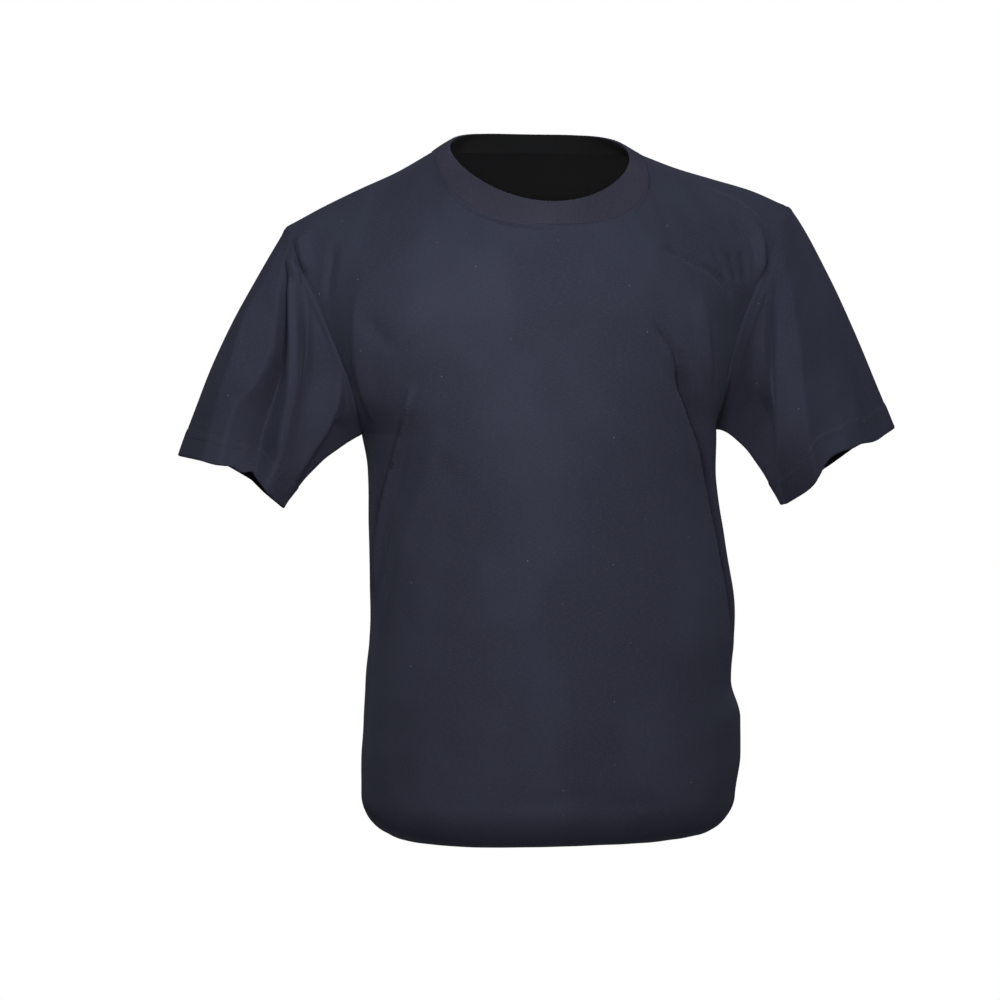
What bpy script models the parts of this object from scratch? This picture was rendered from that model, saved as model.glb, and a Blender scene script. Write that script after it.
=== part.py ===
"""Crew neck t-shirt, filled out as if worn: front, back, two sleeves and a ribbed neck band.

Metres, +Z up. The chest faces -Y and the wearer's left is towards +X. The origin is the
middle of the neck base, level with the two neck points where the shoulder seams end.
Every piece is a cloth wall about a middle surface: a grid of points that the section,
edge and fold tables below give, thickened to both sides and parted at the seams.
"""

from collections import namedtuple

import bpy
import numpy as np

# ---- Cloth and seams --------------------------------------------------------------
JERSEY = 0.0016
HEM_CLOTH = 0.0024
BAND_CLOTH = 0.0026
SEAM_GAP = 0.0003
HEM_DEPTH = 0.024

# ---- Trunk, from the hem that is drawn in under the body up to the underarms ----------
FOOT = -0.606
UNDERARM = -0.264
FORM = 0.87
Side = namedtuple("Side", "height right left")
SIDES = (
    Side(FOOT, 0.166, 0.189),
    Side(-0.570, 0.166, 0.194),
    Side(-0.536, 0.164, 0.194),
    Side(-0.499, 0.162, 0.185),
    Side(-0.440, 0.158, 0.189),
    Side(-0.360, 0.159, 0.178),
    Side(-0.300, 0.160, 0.170),
    Side(UNDERARM, 0.166, 0.170),
)
Depth = namedtuple("Depth", "height front back")
DEPTHS = (
    Depth(FOOT, 0.130, 0.121),
    Depth(-0.536, 0.129, 0.119),
    Depth(-0.440, 0.124, 0.108),
    Depth(-0.360, 0.123, 0.105),
    Depth(-0.300, 0.126, 0.110),
    Depth(-0.230, 0.129, 0.116),
    Depth(-0.150, 0.128, 0.117),
    Depth(-0.060, 0.120, 0.110),
    Depth(0.010, 0.112, 0.102),
)
TUCK_RADIUS = 0.038
TUCK_REACH = 0.030
PUCKERS = 13
PUCKER_DEPTH = 0.007

# ---- Chest, from the underarms up to the shoulder seams and the neckline ------------
NECK_HALF = 0.099
NECK_FRONT_DROP = 0.072
NECK_BACK_RISE = 0.003
NECK_FRONT_FORM = 0.77
NECK_BACK_FORM = 0.95
NECK_SLOPE_RISE = 0.026
NECK_SHARE = 0.40
NECK_SPACING = 0.45
COLUMN_FAN = 0.022
FRONT_SLOPE = 0.180
BACK_SLOPE = 0.155
SLOPE_FORM = 1.42
CHEST_HALF = 0.302
SIDE_ZONE = 0.65

Armhole = namedtuple("Armhole", "rise right_front right_back left_front left_back front back")
ARMHOLE = (
    Armhole(0.00, 0.166, 0.166, 0.170, 0.170, 0.000, 0.000),
    Armhole(0.12, 0.179, 0.181, 0.168, 0.177, 0.044, 0.042),
    Armhole(0.25, 0.189, 0.193, 0.170, 0.187, 0.062, 0.058),
    Armhole(0.40, 0.201, 0.206, 0.177, 0.200, 0.072, 0.066),
    Armhole(0.62, 0.217, 0.222, 0.197, 0.219, 0.078, 0.072),
    Armhole(0.85, 0.232, 0.234, 0.225, 0.237, 0.080, 0.074),
    Armhole(1.00, 0.237, 0.237, 0.244, 0.244, 0.080, 0.074),
)
ShoulderLine = namedtuple("ShoulderLine", "share right_drop left_drop")
SHOULDER_LINE = (
    ShoulderLine(0.00, 0.0000, 0.0000),
    ShoulderLine(0.25, 0.0200, 0.0130),
    ShoulderLine(0.50, 0.0360, 0.0230),
    ShoulderLine(0.75, 0.0530, 0.0330),
    ShoulderLine(1.00, 0.0720, 0.0480),
)

# ---- Sleeves ------------------------------------------------------------------------
Cuff = namedtuple(
    "Cuff", "out_x out_z in_x in_z half_depth middle_y front_arch back_arch head under"
)
CUFFS = {
    "sleeve_right": Cuff(0.338, -0.284, 0.242, -0.333, 0.060, -0.006, 0.009, 0.004, 1.0, 0.006),
    "sleeve_left": Cuff(0.349, -0.259, 0.238, -0.333, 0.060, -0.006, 0.009, 0.004, 0.6, 0.013),
}
SLEEVE_LENGTH = 0.19
SLEEVE_BULGE = 0.009

# ---- Neck band ----------------------------------------------------------------------
BAND_HALF = 0.086
BAND_FRONT = -0.077
BAND_BACK = 0.047
BAND_FRONT_TOP = -0.051
BAND_BACK_TOP = 0.021
BAND_RISE_POWER = 1.8

# ---- Folds: a row each; across is -1 to 1 from side seam to side seam, and a positive
# depth is a ridge. ------------------------------------------------------------------
Fold = namedtuple("Fold", "across0 height0 across1 height1 width depth")
FRONT_FOLDS = (
    Fold(0.74, -0.075, 0.66, -0.270, 0.022, -0.010),
    Fold(0.54, -0.100, 0.53, -0.250, 0.024, 0.004),
    Fold(0.58, -0.190, 0.80, -0.500, 0.021, -0.014),
    Fold(0.84, -0.270, 0.95, -0.470, 0.020, 0.006),
    Fold(-0.80, -0.080, -0.74, -0.230, 0.022, -0.008),
    Fold(-0.44, -0.235, -0.66, -0.500, 0.020, 0.005),
    Fold(-0.58, -0.240, -0.80, -0.480, 0.020, -0.006),
    Fold(0.22, -0.560, -0.30, -0.575, 0.020, -0.003),
)
BACK_FOLDS = (
    Fold(0.76, -0.080, 0.66, -0.250, 0.022, -0.009),
    Fold(0.62, -0.220, 0.78, -0.500, 0.022, -0.010),
    Fold(0.40, -0.250, 0.56, -0.480, 0.022, 0.005),
    Fold(-0.78, -0.080, -0.68, -0.240, 0.022, -0.008),
    Fold(-0.60, -0.210, -0.80, -0.470, 0.022, -0.011),
    Fold(-0.10, -0.440, 0.26, -0.560, 0.024, -0.005),
)
# On a sleeve, turn is degrees from the top line towards the front and along runs from the
# armhole to the cuff. The hitch is how far the fold draws the cuff's edge up.
Crease = namedtuple("Crease", "turn0 along0 turn1 along1 width depth hitch")
SLEEVE_CREASES = {
    "sleeve_right": (
        Crease(22, 0.10, 92, 1.05, 17, -0.015, 0.006),
        Crease(66, 0.20, 128, 1.05, 19, 0.006, 0.000),
        Crease(330, 0.20, 276, 1.05, 20, -0.010, 0.004),
        Crease(262, 0.10, 226, 1.05, 20, -0.008, 0.000),
    ),
    "sleeve_left": (
        Crease(38, 0.05, 84, 1.05, 17, -0.014, 0.007),
        Crease(92, 0.15, 122, 1.05, 19, 0.006, 0.000),
        Crease(320, 0.15, 284, 1.05, 20, -0.010, 0.004),
        Crease(258, 0.20, 232, 1.05, 20, -0.007, 0.000),
    ),
}

# ---- Grid: cells along each stretch ---------------------------------------------------
FRONT_NECK_CELLS = 20
BACK_NECK_CELLS = 12
SHOULDER_CELLS = 15
CHEST_CELLS = 13
TRUNK_CELLS = 11
TUCK_CELLS = 4
REACH_CELLS = 3
SLEEVE_CELLS = 9
BAND_CELLS = 3

SIGNS = {"front": -1, "back": 1}
PANEL_HALF = 0.26
FOLD_END = 0.3
SIDE_HOLD = 0.14

# A slanted direction along which no two neighbouring seam points are level.
SPLIT_ORDER = np.array((1.0, 0.37, 2.1))

COLOURS = {
    "front": (0.034, 0.036, 0.056),
    "back": (0.034, 0.036, 0.056),
    "sleeve_right": (0.026, 0.028, 0.045),
    "sleeve_left": (0.024, 0.025, 0.042),
    "collar": (0.036, 0.037, 0.055),
}
ROUGHNESS = 0.92


class Piece:
    """A cloth piece: its middle surface, its wall and the edges that are sewn."""

    def __init__(self, name, points, wall, sewn, closed=False):
        self.name = name
        self.points = points
        self.wall = wall
        self.sewn = sewn
        self.closed = closed
        self.normals = grid_normals(points, closed)
        self.order = None


def through(rows, column, at):
    """Reads a table column at the given places of the row's first field, without overshoot."""
    knots = np.array([row[0] for row in rows], float)
    values = np.array([getattr(row, column) for row in rows], float)
    step = np.diff(knots)
    slope = np.diff(values) / step
    product = slope[:-1] * slope[1:]
    total = slope[:-1] + slope[1:]
    inner = np.where(product > 0, 2 * product / np.where(total == 0, 1, total), 0)
    tangent = np.concatenate(([slope[0]], inner, [slope[-1]]))
    at = np.clip(at, knots[0], knots[-1])
    k = np.clip(np.searchsorted(knots, at, side="right") - 1, 0, len(step) - 1)
    t = (at - knots[k]) / step[k]
    start = values[k] * (1 + 2 * t) * (1 - t) ** 2 + values[k + 1] * (3 - 2 * t) * t**2
    bend = tangent[k] * t * (1 - t) ** 2 - tangent[k + 1] * (1 - t) * t**2
    return start + bend * step[k]


def smooth_step(value):
    """0 below 0, 1 above 1, and a smooth rise between."""
    value = np.clip(value, 0, 1)
    return value * value * (3 - 2 * value)


def both_sides(across, right, left):
    """The right side's value where across is negative, and the left side's elsewhere."""
    return np.where(across < 0, right, left)


def columns(neck_cells):
    """Places across a panel: shoulder cells that narrow towards the sides, and neck cells."""
    share = np.linspace(0, 1, SHOULDER_CELLS + 1)
    shoulder = NECK_SHARE + (1 - NECK_SHARE) * share * (1.25 - 0.25 * share)
    neck = np.linspace(-NECK_SHARE, NECK_SHARE, neck_cells + 1)
    return np.concatenate((-shoulder[:0:-1], neck, shoulder[1:]))


def chest_rows():
    """Shares of the way from underarm to shoulder, closer together at both ends."""
    share = np.linspace(0, 1, CHEST_CELLS + 1)
    return share - 0.07 * np.sin(2 * np.pi * share)


def trunk_row(across, height, face, inset):
    """One ring stretch of the trunk, drawn in by the inset that the tuck gives."""
    half = both_sides(across, through(SIDES, "right", height), through(SIDES, "left", height))
    depth = through(DEPTHS, face, height)
    angle = across * np.pi / 2
    x = np.sign(across) * (half - inset) * np.abs(np.sin(angle)) ** FORM
    y = SIGNS[face] * (depth - inset) * np.cos(angle).clip(0) ** FORM
    return x, y


def trunk_rows(across, face):
    """Rows from the hem under the body, round the tuck and up to the underarms."""
    rows = []
    for share in np.linspace(1, 0, REACH_CELLS + 1)[:-1]:
        x, y = trunk_row(across, FOOT, face, TUCK_RADIUS + TUCK_REACH * share)
        rows.append((x, y, np.full_like(x, FOOT - TUCK_RADIUS)))
    for angle in np.linspace(np.pi / 2, 0, TUCK_CELLS + 1)[:-1]:
        x, y = trunk_row(across, FOOT, face, TUCK_RADIUS * (1 - np.cos(angle)))
        rows.append((x, y, np.full_like(x, FOOT - TUCK_RADIUS * np.sin(angle))))
    for height in np.linspace(FOOT, UNDERARM, TRUNK_CELLS + 1)[:-1]:
        x, y = trunk_row(across, height, face, 0)
        rows.append((x, y, np.full_like(x, height)))
    return rows


def top_line(across, face):
    """x and z of a panel's top edge, and z of the slope that the neckline cuts."""
    form = NECK_FRONT_FORM if face == "front" else NECK_BACK_FORM
    turn = np.clip(np.abs(across) / NECK_SHARE, 0, 1)
    turn = turn - NECK_SPACING * (1 - form) * np.sin(2 * np.pi * turn)
    dip = -NECK_FRONT_DROP if face == "front" else NECK_BACK_RISE
    neck_x = NECK_HALF * np.sin(turn * np.pi / 2) ** form
    neck_z = dip * np.cos(turn * np.pi / 2).clip(0) ** form
    ridge_z = NECK_SLOPE_RISE * (1 - turn**2)
    share = np.clip((np.abs(across) - NECK_SHARE) / (1 - NECK_SHARE), 0, 1)
    drop = both_sides(
        across,
        through(SHOULDER_LINE, "right_drop", share),
        through(SHOULDER_LINE, "left_drop", share),
    )
    reach = both_sides(across, ARMHOLE[-1].right_front, ARMHOLE[-1].left_front)
    x = neck_x + (reach - NECK_HALF) * share
    return x, neck_z - drop, ridge_z - drop


def section(x, half):
    """How much of its full depth a level section has at x; none at its half width."""
    return (1 - (x / half) ** (2 / FORM)).clip(0) ** (FORM / 2)


def chest_rows_of(across, face):
    """Rows from the underarms up to the shoulder seams and the neckline."""
    top_x, top_z, ridge_z = top_line(across, face)
    slope = FRONT_SLOPE if face == "front" else BACK_SLOPE
    reach = both_sides(across, ARMHOLE[-1].right_front, ARMHOLE[-1].left_front)
    low_half = both_sides(across, SIDES[-1].right, SIDES[-1].left)
    low_share = np.abs(np.sin(across * np.pi / 2)) ** FORM
    rows = []
    for rise in chest_rows():
        edge = both_sides(
            across,
            through(ARMHOLE, "right_" + face, rise),
            through(ARMHOLE, "left_" + face, rise),
        )
        blend = smooth_step(rise)
        x = edge * ((1 - blend) * low_share + blend * top_x / reach)
        x = x + COLUMN_FAN * 4 * rise * (1 - rise) * np.sin(np.pi * across) ** 2
        z = UNDERARM + (top_z - UNDERARM) * rise
        depth = through(DEPTHS, face, z)
        edge_share = through(ARMHOLE, face, rise) / depth
        edge_half = edge / (1 - edge_share ** (2 / FORM)) ** (FORM / 2)
        body = section(x, low_half + (CHEST_HALF - low_half) * blend)
        at_edge = smooth_step((x / edge - 1 + SIDE_ZONE) / SIDE_ZONE)
        side = body + (section(x, edge_half) - body) * at_edge
        drop = np.clip((ridge_z - z) / slope, 0, 1)
        over = (1 - (1 - drop) ** SLOPE_FORM) ** (1 / SLOPE_FORM)
        rows.append((np.sign(across) * x, SIGNS[face] * depth * side * over, z))
    return rows


def fold_height(folds, across, z):
    """How far the folds lift each point of a panel, before its edges are held."""
    lift = np.zeros_like(z)
    for fold in folds:
        run_x = (fold.across1 - fold.across0) * PANEL_HALF
        run_z = fold.height1 - fold.height0
        length = np.hypot(run_x, run_z)
        away_x = (across - fold.across0) * PANEL_HALF
        away_z = z - fold.height0
        along = (away_x * run_x + away_z * run_z) / length**2
        aside = (away_x * run_z - away_z * run_x) / length
        fade = smooth_step(along / FOLD_END) * smooth_step((1 - along) / FOLD_END)
        lift += fold.depth * fade * np.exp(-((aside / fold.width) ** 2))
    return lift


def hem_puckers(across, face, row_count):
    """Uneven waves of the cloth that is gathered under the body, pushed up into it."""
    around = across * np.pi / 2 if face == "front" else np.pi - across * np.pi / 2
    wave = np.sin(PUCKERS * around + np.sin(2 * around)) * (1 + np.sin(3 * around + 1) / 2)
    growth = smooth_step(1 - np.arange(row_count) / REACH_CELLS)
    return -PUCKER_DEPTH * growth[:, None] * (1 + wave[None, :]) / 2


def body_panel(face):
    """The front or the back, its columns ordered so that the outside faces out."""
    cells = FRONT_NECK_CELLS if face == "front" else BACK_NECK_CELLS
    across = columns(cells)
    rows = trunk_rows(across, face) + chest_rows_of(across, face)
    points = np.array([np.stack(row, axis=-1) for row in rows])
    height = points[:, :, 2]
    folds = FRONT_FOLDS if face == "front" else BACK_FOLDS
    rise = (height - UNDERARM) / (height[-1] - UNDERARM)
    hold = smooth_step((1 - rise) / FOLD_END) * smooth_step((1 - np.abs(across)) / SIDE_HOLD)
    lift = fold_height(folds, np.broadcast_to(across, rise.shape), height) * hold
    lift += hem_puckers(across, face, len(points))
    if face == "back":
        points = points[:, ::-1]
        lift = lift[:, ::-1]
    wall = np.full(rise.shape, JERSEY)
    wall[:REACH_CELLS + 1] = HEM_CLOTH
    underarm = len(points) - 1 - CHEST_CELLS
    last = len(across) - 1
    seams = [("top", 0, SHOULDER_CELLS), ("top", last - SHOULDER_CELLS, last)]
    seams += [("top", SHOULDER_CELLS, last - SHOULDER_CELLS)]
    for edge in ("start", "end"):
        seams += [(edge, 0, underarm), (edge, underarm, len(points) - 1)]
    return Piece(face, points, wall, seams), lift


def grid_normals(points, closed):
    """Unit normals of a grid, along columns crossed with along rows."""
    if closed:
        wrapped = np.concatenate((points[:, -1:], points, points[:, :1]), axis=1)
        across = (wrapped[:, 2:] - wrapped[:, :-2]) / 2
    else:
        across = np.gradient(points, axis=1)
    along = np.gradient(points, axis=0)
    normals = np.cross(across, along)
    return normals / np.linalg.norm(normals, axis=-1, keepdims=True)


def share_normals(pieces):
    """Gives pieces that meet at a seam point one normal there, the mean of their own."""
    meeting = {}
    for piece in pieces:
        flat = piece.normals.reshape(-1, 3)
        for index, point in enumerate(piece.points.reshape(-1, 3)):
            meeting.setdefault(tuple(np.round(point, 6)), []).append((flat, index))
    for places in meeting.values():
        if len(places) > 1:
            mean = sum(flat[index] for flat, index in places)
            mean = mean / np.linalg.norm(mean)
            for flat, index in places:
                flat[index] = mean


def edge_line(grid, edge, inside=0):
    """An edge row or column of a grid, or the line that many cells inside it."""
    if edge == "bottom":
        return grid[inside]
    if edge == "top":
        return grid[-1 - inside]
    if edge == "start":
        return grid[:, inside]
    return grid[:, -1 - inside]


def part_at_seams(piece):
    """Draws each sewn edge back by half the seam gap, square to the seam and in the cloth."""
    moved = piece.points.copy()
    for edge, first, last in piece.sewn:
        stretch = slice(first, last + 1)
        line = edge_line(piece.points, edge)[stretch]
        inward = edge_line(piece.points, edge, 1)[stretch] - line
        for away in (np.gradient(line, axis=0), edge_line(piece.normals, edge)[stretch]):
            away = away / np.linalg.norm(away, axis=-1, keepdims=True)
            inward = inward - (inward * away).sum(-1, keepdims=True) * away
        inward /= np.linalg.norm(inward, axis=-1, keepdims=True)
        edge_line(moved, edge)[stretch] += inward * SEAM_GAP / 2
    piece.points = moved


def sleeve_ring(side, front, back):
    """The armhole's points from the shoulder round by the front, or by the back on the right."""
    ups = {"sleeve_right": (front.points[:, 0], back.points[:, -1]),
           "sleeve_left": (front.points[:, -1], back.points[:, 0])}
    front_edge, back_edge = (line[-CHEST_CELLS - 1:] for line in ups[side])
    turn = 180 * (1 - np.linspace(0, 1, CHEST_CELLS + 1))
    ring = np.concatenate((front_edge[::-1], back_edge[1:-1]))
    degrees = np.concatenate((turn[::-1], 360 - turn[1:-1]))
    return ring, degrees


def sleeve(side, front, back):
    """A tube from the armhole to the cuff, hanging in a few creases."""
    cuff = CUFFS[side]
    hand = -1 if side == "sleeve_right" else 1
    ring, degrees = sleeve_ring(side, front, back)
    angle = np.radians(degrees)
    share = (1 - np.cos(angle)) / 2
    sine = np.sin(angle)
    arch = cuff.front_arch * sine.clip(0) ** 2 + cuff.back_arch * (-sine).clip(0) ** 2
    end = np.stack((
        hand * (cuff.out_x + (cuff.in_x - cuff.out_x) * share),
        cuff.middle_y - cuff.half_depth * sine,
        cuff.out_z + (cuff.in_z - cuff.out_z) * share + arch,
    ), axis=-1)
    along = np.append(np.linspace(0, 1 - HEM_DEPTH / SLEEVE_LENGTH, SLEEVE_CELLS), 1)[:, None]
    lift, hitch = creases(side, degrees, along)
    points = ring + (end - ring) * (along - hitch)[:, :, None]
    away = points - points.mean(axis=1, keepdims=True)
    away /= np.linalg.norm(away, axis=-1, keepdims=True)
    bulge = SLEEVE_BULGE * (1 - share) - cuff.under * share**2
    points = points + away * (bulge * np.sin(np.pi * along**cuff.head))[:, :, None]
    if side == "sleeve_right":
        points = points[:, ::-1]
        lift = lift[:, ::-1]
    points = points + grid_normals(points, True) * lift[:, :, None]
    wall = np.full(points.shape[:2], JERSEY)
    wall[-2:] = HEM_CLOTH
    return Piece(side, points, wall, [("bottom", 0, len(ring) - 1)], closed=True)


def creases(side, degrees, along):
    """The creases' lift of each point of a sleeve, and how far they draw it up as a share."""
    lift = np.zeros((len(along), len(degrees)))
    hitch = np.zeros_like(lift)
    for crease in SLEEVE_CREASES[side]:
        share = (along - crease.along0) / (crease.along1 - crease.along0)
        centre = crease.turn0 + (crease.turn1 - crease.turn0) * share
        aside = (degrees[None, :] - centre + 180) % 360 - 180
        form = np.exp(-((aside / crease.width) ** 2))
        lift += crease.depth * smooth_step(share) * form
        hitch += crease.hitch / SLEEVE_LENGTH * smooth_step(share * 2 - 1) * form
    return lift * smooth_step(along / FOLD_END), hitch


def neck_ring(front, back):
    """The neckline's points from the middle of the front, to the left and round the back."""
    front_line = front.points[-1, SHOULDER_CELLS:-SHOULDER_CELLS]
    back_line = back.points[-1, SHOULDER_CELLS:-SHOULDER_CELLS]
    half = FRONT_NECK_CELLS // 2
    return np.concatenate((front_line[half:], back_line[1:-1], front_line[:half]))


def collar(front, back):
    """The neck band, standing on the neckline and leaning in."""
    ring = neck_ring(front, back)
    front_turn = np.linspace(0, 90, FRONT_NECK_CELLS // 2 + 1)
    back_turn = np.linspace(90, 270, BACK_NECK_CELLS + 1)
    degrees = np.concatenate((front_turn, back_turn[1:-1], 360 - front_turn[:0:-1]))
    angle = np.radians(degrees)
    middle = (BAND_FRONT + BAND_BACK) / 2
    half = (BAND_BACK - BAND_FRONT) / 2
    rise = 1 - ((1 + np.cos(angle)) / 2) ** BAND_RISE_POWER
    rim = np.stack((
        BAND_HALF * np.sin(angle),
        middle - half * np.cos(angle),
        BAND_FRONT_TOP + (BAND_BACK_TOP - BAND_FRONT_TOP) * rise,
    ), axis=-1)
    along = np.linspace(0, 1, BAND_CELLS + 1)[:, None, None]
    points = ring + (rim - ring) * along
    wall = np.full(points.shape[:2], BAND_CLOTH)
    return Piece("collar", points, wall, [("bottom", 0, len(ring) - 1)], closed=True)


def wall_faces(rows, count, closed, order):
    """Triangles of a closed wall over a grid, outer points first and inner points after.

    The order value of each grid point settles which way a rim cell is split, so that two
    pieces that meet along a twisted seam split it alike.
    """
    index = np.arange(rows * count).reshape(rows, count)
    if closed:
        index = np.concatenate((index, index[:, :1]), axis=1)
    a = index[:-1, :-1].ravel()
    b = index[:-1, 1:].ravel()
    c = index[1:, 1:].ravel()
    d = index[1:, :-1].ravel()
    outer = np.concatenate((np.stack((a, b, c), 1), np.stack((a, c, d), 1)))
    inner = outer[:, ::-1] + rows * count
    edges = [index[0, ::-1], index[-1]]
    if not closed:
        edges += [index[:, 0], index[::-1, -1]]
    rims = []
    for line in edges:
        start, end = line[:-1], line[1:]
        low_start, low_end = start + rows * count, end + rows * count
        rising = order[start] < order[end]
        first = np.where(rising, low_end, low_start)
        second = np.where(rising, start, end)
        rims += [np.stack((start, end, first), 1), np.stack((second, low_end, low_start), 1)]
    return np.concatenate([outer, inner] + rims)


def cloth_material(name):
    """Plain knit finish in the piece's own colour."""
    material = bpy.data.materials.new(name + "_jersey")
    material.use_nodes = True
    shader = material.node_tree.nodes["Principled BSDF"]
    shader.inputs["Base Color"].default_value = (*COLOURS[name], 1.0)
    shader.inputs["Roughness"].default_value = ROUGHNESS
    shader.inputs["Metallic"].default_value = 0.0
    return material


def build_wall(piece):
    """Makes the piece's closed solid."""
    half = piece.normals * piece.wall[:, :, None] / 2
    vertices = np.concatenate((piece.points + half, piece.points - half)).reshape(-1, 3)
    rows, count = piece.points.shape[:2]
    faces = wall_faces(rows, count, piece.closed, piece.order)
    mesh = bpy.data.meshes.new(piece.name)
    mesh.from_pydata(vertices.tolist(), [], faces.tolist())
    mesh.shade_smooth()
    mesh.set_sharp_from_angle(angle=np.radians(50))
    mesh.materials.append(cloth_material(piece.name))
    obj = bpy.data.objects.new(piece.name, mesh)
    bpy.context.scene.collection.objects.link(obj)
    return obj


def garment():
    """All pieces as parted middle surfaces with shared seam normals."""
    front, front_lift = body_panel("front")
    back, back_lift = body_panel("back")
    share_normals([front, back])
    for piece, lift in ((front, front_lift), (back, back_lift)):
        piece.points = piece.points + piece.normals * lift[:, :, None]
        piece.normals = grid_normals(piece.points, False)
    pieces = [front, back, collar(front, back)]
    pieces += [sleeve(side, front, back) for side in CUFFS]
    share_normals(pieces)
    for piece in pieces:
        piece.order = (piece.points @ SPLIT_ORDER).ravel()
        part_at_seams(piece)
    return pieces


def main():
    """Clears the scene and builds the t-shirt."""
    for obj in list(bpy.data.objects):
        bpy.data.objects.remove(obj, do_unlink=True)
    for piece in garment():
        build_wall(piece)


if __name__ == "__main__":
    main()
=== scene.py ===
"""Crew neck t-shirt, filled out as if worn: knit panels, sleeves, ribbed neck band and stitching.

Metres, +Z up, but millimetres in the tables of folds and creases. The chest faces -Y and the
wearer's left is towards +X. Each cloth piece is a closed shell about a middle surface that its
sizes and fold tables give.
"""

import logging
import math
from dataclasses import dataclass, field
from enum import Enum
from typing import Any, Callable, ClassVar, NamedTuple, Sequence

import bpy
import numpy as np
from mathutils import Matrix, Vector


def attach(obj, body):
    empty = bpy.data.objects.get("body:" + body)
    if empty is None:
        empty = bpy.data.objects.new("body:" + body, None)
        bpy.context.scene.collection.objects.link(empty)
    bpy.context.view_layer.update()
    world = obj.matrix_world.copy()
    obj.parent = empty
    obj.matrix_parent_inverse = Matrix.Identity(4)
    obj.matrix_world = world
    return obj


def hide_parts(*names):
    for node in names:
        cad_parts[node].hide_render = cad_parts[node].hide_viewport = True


Array = np.ndarray
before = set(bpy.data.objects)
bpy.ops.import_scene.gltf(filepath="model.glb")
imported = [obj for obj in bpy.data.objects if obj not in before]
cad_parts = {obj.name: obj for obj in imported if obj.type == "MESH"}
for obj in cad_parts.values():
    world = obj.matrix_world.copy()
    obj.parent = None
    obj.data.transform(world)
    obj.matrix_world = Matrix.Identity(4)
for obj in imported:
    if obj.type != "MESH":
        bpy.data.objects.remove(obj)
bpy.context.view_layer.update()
LOG = logging.getLogger("tshirt")
TINY = 1e-12
MILLIMETRES = 1000

# A roof's curve: how much its top and its feet are rounded, and its height before it is set to 1.
ROOF_TOP, ROOF_FOOT, ROOF_PEAK = 0.01, 0.008, 1.81


# ---------------- curves and short tables


def smooth_step(value: Array | float) -> Array:
    """0 below 0, 1 above 1, and a smooth rise between."""
    value = np.clip(value, 0, 1)
    return value * value * (3 - 2 * value)


def bell(value: Array | float) -> Array:
    """1 at 0, falling away softly on both sides."""
    return np.exp(-np.square(value))


def roof(value: Array | float) -> Array:
    """1 at 0, and straight slopes down to about 0 at 1 on both sides, with its kinks rounded."""
    slope = 1 - np.sqrt(np.square(value) + ROOF_TOP)
    return (slope + np.sqrt(slope * slope + ROOF_FOOT)) / ROOF_PEAK


def uneven(place: Array, wave: float, drift: float) -> Array:
    """Waves between 0 and 1 whose length drifts, as a sewn seam's do."""
    return 0.5 + 0.5 * np.sin(place / wave + 2 * np.sin(place / drift))


def unit(vectors: Array) -> Array:
    """The same directions at length 1."""
    length = np.linalg.norm(vectors, axis=-1, keepdims=True)
    return vectors / np.maximum(length, TINY)


def wrapped(value: Array, turn: float) -> Array:
    """The same place round a loop, within half a turn of 0."""
    return (value + turn / 2) % turn - turn / 2


def between(at: Array, places: Array, values: Array) -> Array:
    """Points at places along a line, straight between the line's own points."""
    return np.stack([np.interp(at, places, column) for column in values.T], axis=-1)


def run_along(line: Array) -> Array:
    """Each point's distance along a line, from its first point."""
    return np.concatenate(([0.0], np.cumsum(np.linalg.norm(np.diff(line, axis=0), axis=1))))


def through(rows: Sequence[NamedTuple], column: str, at: Array | float) -> Array:
    """Reads a table column between its rows, without overshoot.

    Args:
        rows: table rows, rising in their first field.
        column: the field to read.
        at: places along the first field.

    Returns:
        The column's values at those places.
    """
    knots = np.array([row[0] for row in rows], float)
    values = np.array([getattr(row, column) for row in rows], float)
    step = np.diff(knots)
    slope = np.diff(values) / step
    product = slope[:-1] * slope[1:]
    total = slope[:-1] + slope[1:]
    inner = np.where(product > 0, 2 * product / np.where(total == 0, 1, total), 0)
    tangent = np.concatenate(([slope[0]], inner, [slope[-1]]))
    at = np.clip(at, knots[0], knots[-1])
    k = np.clip(np.searchsorted(knots, at, side="right") - 1, 0, len(step) - 1)
    t = (at - knots[k]) / step[k]
    start = values[k] * (1 + 2 * t) * (1 - t) ** 2 + values[k + 1] * (3 - 2 * t) * t**2
    bend = tangent[k] * t * (1 - t) ** 2 - tangent[k + 1] * (1 - t) * t**2
    return start + bend * step[k]


def by_side(across: Array, rows: Sequence[NamedTuple], tail: str, at: Array | float) -> Array:
    """Reads the table's right column where across is negative, and its left one elsewhere."""
    right = through(rows, "right" + tail, at)
    return np.where(across < 0, right, through(rows, "left" + tail, at))


class Side(NamedTuple):
    """Half widths of the trunk at a height."""

    height: float
    right: float
    left: float


class Depth(NamedTuple):
    """How far the cloth stands in front of and behind the side seams at a height."""

    height: float
    front: float
    back: float


class Armhole(NamedTuple):
    """Half widths and depths of the armhole edges at a share of the way up."""

    rise: float
    right_front: float
    right_back: float
    left_front: float
    left_back: float
    front: float
    back: float


class ShoulderLine(NamedTuple):
    """How far each shoulder seam has dropped at a share of its run outward."""

    share: float
    right_drop: float
    left_drop: float


class Tuck(NamedTuple):
    """How deep the cloth is drawn in along each armhole at a height, and how far across."""

    height: float
    right_depth: float
    right_reach: float
    left_depth: float
    left_reach: float


class Cut(NamedTuple):
    """A piece's flat size before sewing: its bounding width and length, and its area."""

    width: float
    length: float
    area: float


class Face(Enum):
    """The two body panels; the value is the way that each faces along Y."""

    FRONT = -1
    BACK = 1

    @property
    def key(self) -> str:
        """The panel's name in tables, which is also its node's."""
        return self.name.lower()


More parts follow.
